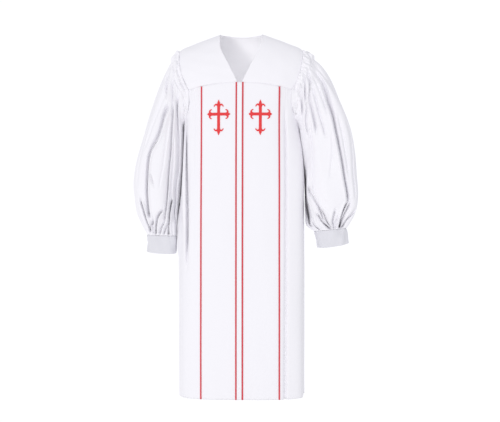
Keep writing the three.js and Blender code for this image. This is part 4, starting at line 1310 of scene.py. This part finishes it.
@dataclass
class Trim:
    """What lies on the front: the placket, four lengths of piping and two crosses."""

    body: BodyCloth
    seam_gap: float = 0.3
    wall: float = 1.2
    placket_half: float = 8.6
    inner_arc: float = 11.7
    piping_width: float = 5.6
    piping_height: float = 2.2
    cross_arc: float = 75.0
    cross_drop: float = 305.0
    longest_edge: float = 4.0
    bar_half: float = 4.8
    curl_reach: float = 17.5
    arms: tuple[CrossArm, ...] = (
        CrossArm(51.5, 16), CrossArm(42, 8.5), CrossArm(75.5, 15.5), CrossArm(42, 8.5))

    def build_placket(self) -> bpy.types.Object:
        """The strip over the front closing, with a line of stitches down its middle."""
        arc = np.linspace(-self.placket_half, self.placket_half, 29)[None, :]
        steps = np.linspace(0, 1, 140)[:, None]
        drop = mix(self.body.form.neck_drops[-1] + 1, self.body.form.hem_drop, steps)
        lift = 2.3 - 0.5 * np.exp(-((arc + 1.6) / 1.1) ** 2)
        lift = lift - 0.5 * np.exp(-((self.placket_half - np.abs(arc)) / 0.8) ** 2)
        halves = [self.body.point(side, np.abs(arc), drop, lift) for side in (Side.RIGHT, Side.LEFT)]
        points = join_halves(arc, halves)
        piece = sew("placket", points, -1, thickness=self.wall)
        return piece

    def build_piping(self, side: Side, outer: bool) -> bpy.types.Object:
        """One length of corded piping, low and round."""
        arc = self.body.form.piping_arc[side] if outer else self.inner_arc
        top = self.body.form.seam(Part.FRONT, arc) + self.seam_gap
        drop = np.linspace(top, self.body.form.hem_drop, 300)[:, None]
        turn = np.linspace(0, math.pi, 11)[None, :]
        across = -self.piping_width / 2 * np.cos(turn)
        lift = self.seam_gap + self.piping_height * np.sin(turn) ** 0.8
        upper = self.body.point(side, arc + across, drop, lift)
        vertices = upper.reshape(-1, 3)
        rows, columns = upper.shape[:2]
        faces = grid_faces(rows, columns, True).tolist()
        faces += [list(range(columns))[::-1], [(rows - 1) * columns + c for c in range(columns)]]
        if side is Side.RIGHT:
            faces = [face[::-1] for face in faces]
        name = f"piping_{'outer' if outer else 'inner'}_{side.word}"
        piece = write_mesh(f"{name}_cord", vertices, faces)
        return settle(piece, PIPING_CORD, name)

    def arm_outline(self, arm: CrossArm) -> list[tuple[float, float]]:
        """Half the outline of an arm that points up, from its tip down to the bar."""
        tip, root = arm.length, arm.length - arm.leaf
        reach, bar = self.curl_reach, self.bar_half
        return [
            (0.0, tip), (2.0, tip - 0.28 * arm.leaf), (4.6, tip - 0.62 * arm.leaf),
            (4.4, tip - 0.86 * arm.leaf), (6.0, root + 1.6), (9.5, root + 1.9), (13.0, root + 0.4),
            (16.0, root - 3.0), (reach, root - 6.6), (reach - 1.6, root - 8.4), (14.4, root - 5.6),
            (11.4, root - 3.6), (8.0, root - 3.6), (6.0, root - 5.8), (bar, root - 9.5),
        ]

    def cross_outline(self) -> list[tuple[float, float]]:
        """The outline of the whole cross, clockwise from the top."""
        outline = []
        for index, arm in enumerate(self.arms):
            right = self.arm_outline(arm)
            left = [(-x, y) for x, y in right[:0:-1]]
            cosine, sine = round(math.cos(index * math.pi / 2)), round(math.sin(index * math.pi / 2))
            for x, y in [(-self.bar_half, self.bar_half), *left, *right]:
                outline.append((x * cosine + y * sine, -x * sine + y * cosine))
        return outline

    def on_bar(self, x: float, y: float) -> bool:
        """Whether a point of the outline is a corner of the straight bars or a leaf's tip."""
        return min(abs(x), abs(y)) <= self.bar_half + 0.01

    def build_cross(self, side: Side) -> bpy.types.Object:
        """One embroidered cross: a padded outline with rounded edges, laid on the panel."""
        curve = bpy.data.curves.new(f"cross_{side.word}_outline", "CURVE")
        curve.dimensions, curve.fill_mode = "2D", "BOTH"
        curve.extrude, curve.bevel_depth, curve.bevel_resolution = 0.15, 0.45, 2
        outline = self.cross_outline()
        spline = curve.splines.new("BEZIER")
        spline.bezier_points.add(len(outline) - 1)
        for point, (x, y) in zip(spline.bezier_points, outline):
            point.co = (x, y, 0)
            point.handle_left_type = point.handle_right_type = "VECTOR" if self.on_bar(x, y) else "AUTO"
        spline.use_cyclic_u = True
        spline.resolution_u = 5
        flat = bpy.data.objects.new(curve.name, curve)
        bpy.context.scene.collection.objects.link(flat)
        mesh = bpy.data.meshes.new_from_object(flat.evaluated_get(bpy.context.evaluated_depsgraph_get()))
        bpy.data.objects.remove(flat)
        self.refine(mesh)
        flat_points = np.array([vertex.co[:] for vertex in mesh.vertices])
        lift = self.seam_gap + (flat_points[:, 2] - flat_points[:, 2].min())
        arc = self.cross_arc + side.value * flat_points[:, 0]
        placed = self.body.point(side, arc, self.cross_drop - flat_points[:, 1], lift)
        faces = [list(polygon.vertices) for polygon in mesh.polygons]
        if side is Side.RIGHT:
            faces = [face[::-1] for face in faces]
        piece = write_mesh(f"cross_{side.word}_embroidery", placed, faces)
        return settle(piece, CROSS_THREAD, f"cross_{side.word}")

    def refine(self, flat: bpy.types.Mesh) -> None:
        """Closes the padded outline and halves its long edges, so that it follows the curved panel."""
        mesh = bmesh.new()
        mesh.from_mesh(flat)
        bmesh.ops.remove_doubles(mesh, verts=mesh.verts, dist=0.01)
        for _ in range(5):
            bmesh.ops.triangulate(mesh, faces=mesh.faces)
            long = [edge for edge in mesh.edges if edge.calc_length() > self.longest_edge]
            bmesh.ops.subdivide_edges(mesh, edges=long, cuts=1)
        bmesh.ops.triangulate(mesh, faces=mesh.faces)
        bmesh.ops.recalc_face_normals(mesh, faces=mesh.faces)
        mesh.to_mesh(flat)
        mesh.free()


# ------------------------------------------------------------------------------------------------
# Studio
# ------------------------------------------------------------------------------------------------

@dataclass
class Studio:
    """Floor in millimetres, and surround, lights and camera in metres."""

    distance: float = 4.0
    azimuth: float = 2.8
    height: float = -0.653
    aim_x: float = 0.0318
    lens: float = 77.8
    ambient: float = 0.82
    ambient_tone: tuple[float, float, float] = (0.985, 0.985, 1.02)
    sun_strength: float = 0.70
    sun_tone: tuple[float, float, float] = (1.0, 0.985, 0.965)
    sun_angle: float = 0.2
    sun_from: tuple[float, float, float] = (-0.28, -0.93, -0.22)
    rear_strength: float = 0.62
    rear_from: tuple[float, float, float] = (-0.45, 0.89, -0.10)
    neck_power: float = 0.285
    neck_place: tuple[float, float, float] = (0.0, -0.03, -0.125)
    neck_radius: float = 0.05
    floor_drop: float = 1500.0
    floor_radius: float = 320.0
    floor_tone: tuple[float, float, float] = (0.95, 0.95, 0.955)

    def build_camera(self) -> None:
        """A level camera a little to the wearer's left of the middle."""
        angle = math.radians(self.azimuth)
        data = bpy.data.cameras.new("camera")
        data.lens, data.sensor_width = self.lens, 36.0
        camera = bpy.data.objects.new("camera", data)
        right = Vector((math.cos(angle), math.sin(angle), 0))
        back = Vector((math.sin(angle), -math.cos(angle), 0))
        camera.location = back * self.distance + right * self.aim_x + Vector((0, 0, self.height))
        camera.rotation_euler = (math.pi / 2, 0, angle)
        bpy.context.scene.collection.objects.link(camera)
        bpy.context.scene.camera = camera

    def build_surround(self) -> None:
        """A white surround that lights the robe more weakly than it shows itself."""
        scene = bpy.context.scene
        scene.world = bpy.data.worlds.new("surround")
        scene.world.use_nodes = True
        tree = scene.world.node_tree
        background = tree.nodes["Background"]
        background.inputs["Color"].default_value = (*self.ambient_tone, 1)
        path = add_node(tree, "ShaderNodeLightPath")
        strength = add_node(tree, "ShaderNodeMapRange", To_Min=self.ambient, To_Max=1.05)
        tree.links.new(path.outputs["Is Camera Ray"], strength.inputs["Value"])
        tree.links.new(strength.outputs["Result"], background.inputs["Strength"])
        scene.view_settings.view_transform = "Standard"

    @staticmethod
    def add_light(name: str, kind: str, aim: Vector, energy: float) -> bpy.types.Object:
        """A light that shines along a direction."""
        data = bpy.data.lights.new(name, kind)
        data.energy = energy
        lamp = bpy.data.objects.new(name, data)
        lamp.rotation_euler = aim.to_track_quat("-Z", "Y").to_euler()
        bpy.context.scene.collection.objects.link(lamp)
        return lamp

    def build_lights(self) -> None:
        """A broad light from the front, one from behind for the flutes, and a small one inside the neck."""
        for name, source, strength in (("broad", self.sun_from, self.sun_strength),
                                       ("rear", self.rear_from, self.rear_strength)):
            sun = self.add_light(name, "SUN", -Vector(source), strength)
            sun.data.angle, sun.data.color = self.sun_angle, self.sun_tone
        neck = self.add_light("neck", "POINT", Vector((0, 1, 0)), self.neck_power)
        neck.data.shadow_soft_size = self.neck_radius
        neck.location, neck.visible_camera = self.neck_place, False

    def build_floor(self) -> None:
        """A small pale floor, level with the soles of whoever wears the robe."""
        turn = np.linspace(0, math.tau, 96, endpoint=False)
        level = np.full(turn.shape, -self.floor_drop)
        rim = np.stack([self.floor_radius * np.cos(turn), self.floor_radius * np.sin(turn), level], -1)
        floor = write_mesh("floor", rim, [range(len(turn))])
        paint = bpy.data.materials.new("floor_paint")
        paint.use_nodes = True
        shader = paint.node_tree.nodes["Principled BSDF"]
        shader.inputs["Base Color"].default_value = (*self.floor_tone, 1.0)
        shader.inputs["Roughness"].default_value = 0.8
        floor.data.materials.append(paint)

    def build(self) -> None:
        """Everything of the studio."""
        self.build_camera()
        self.build_floor()
        self.build_surround()
        self.build_lights()


# ------------------------------------------------------------------------------------------------
# The whole robe
# ------------------------------------------------------------------------------------------------


def main() -> None:
    """Builds the robe, piece by piece, and the studio round it."""
    logging.basicConfig(level=logging.INFO, format="%(name)s: %(message)s")
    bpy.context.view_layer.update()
    Studio().build()
    form = RobeForm()
    yokes, body, sleeves = Yokes(form), BodyCloth(form), Sleeves(form)
    trim = Trim(body)
    yokes.build_back()
    body.build_back()
    for side in Side:
        yokes.build_front(side)
        body.build_front_panel(side)
        body.build_side(side)
        sleeves.build_sleeve(side)
        sleeves.build_cuff(side)
        trim.build_piping(side, outer=True)
        trim.build_piping(side, outer=False)
        trim.build_cross(side)
    trim.build_placket()


if __name__ == "__main__":
    main()
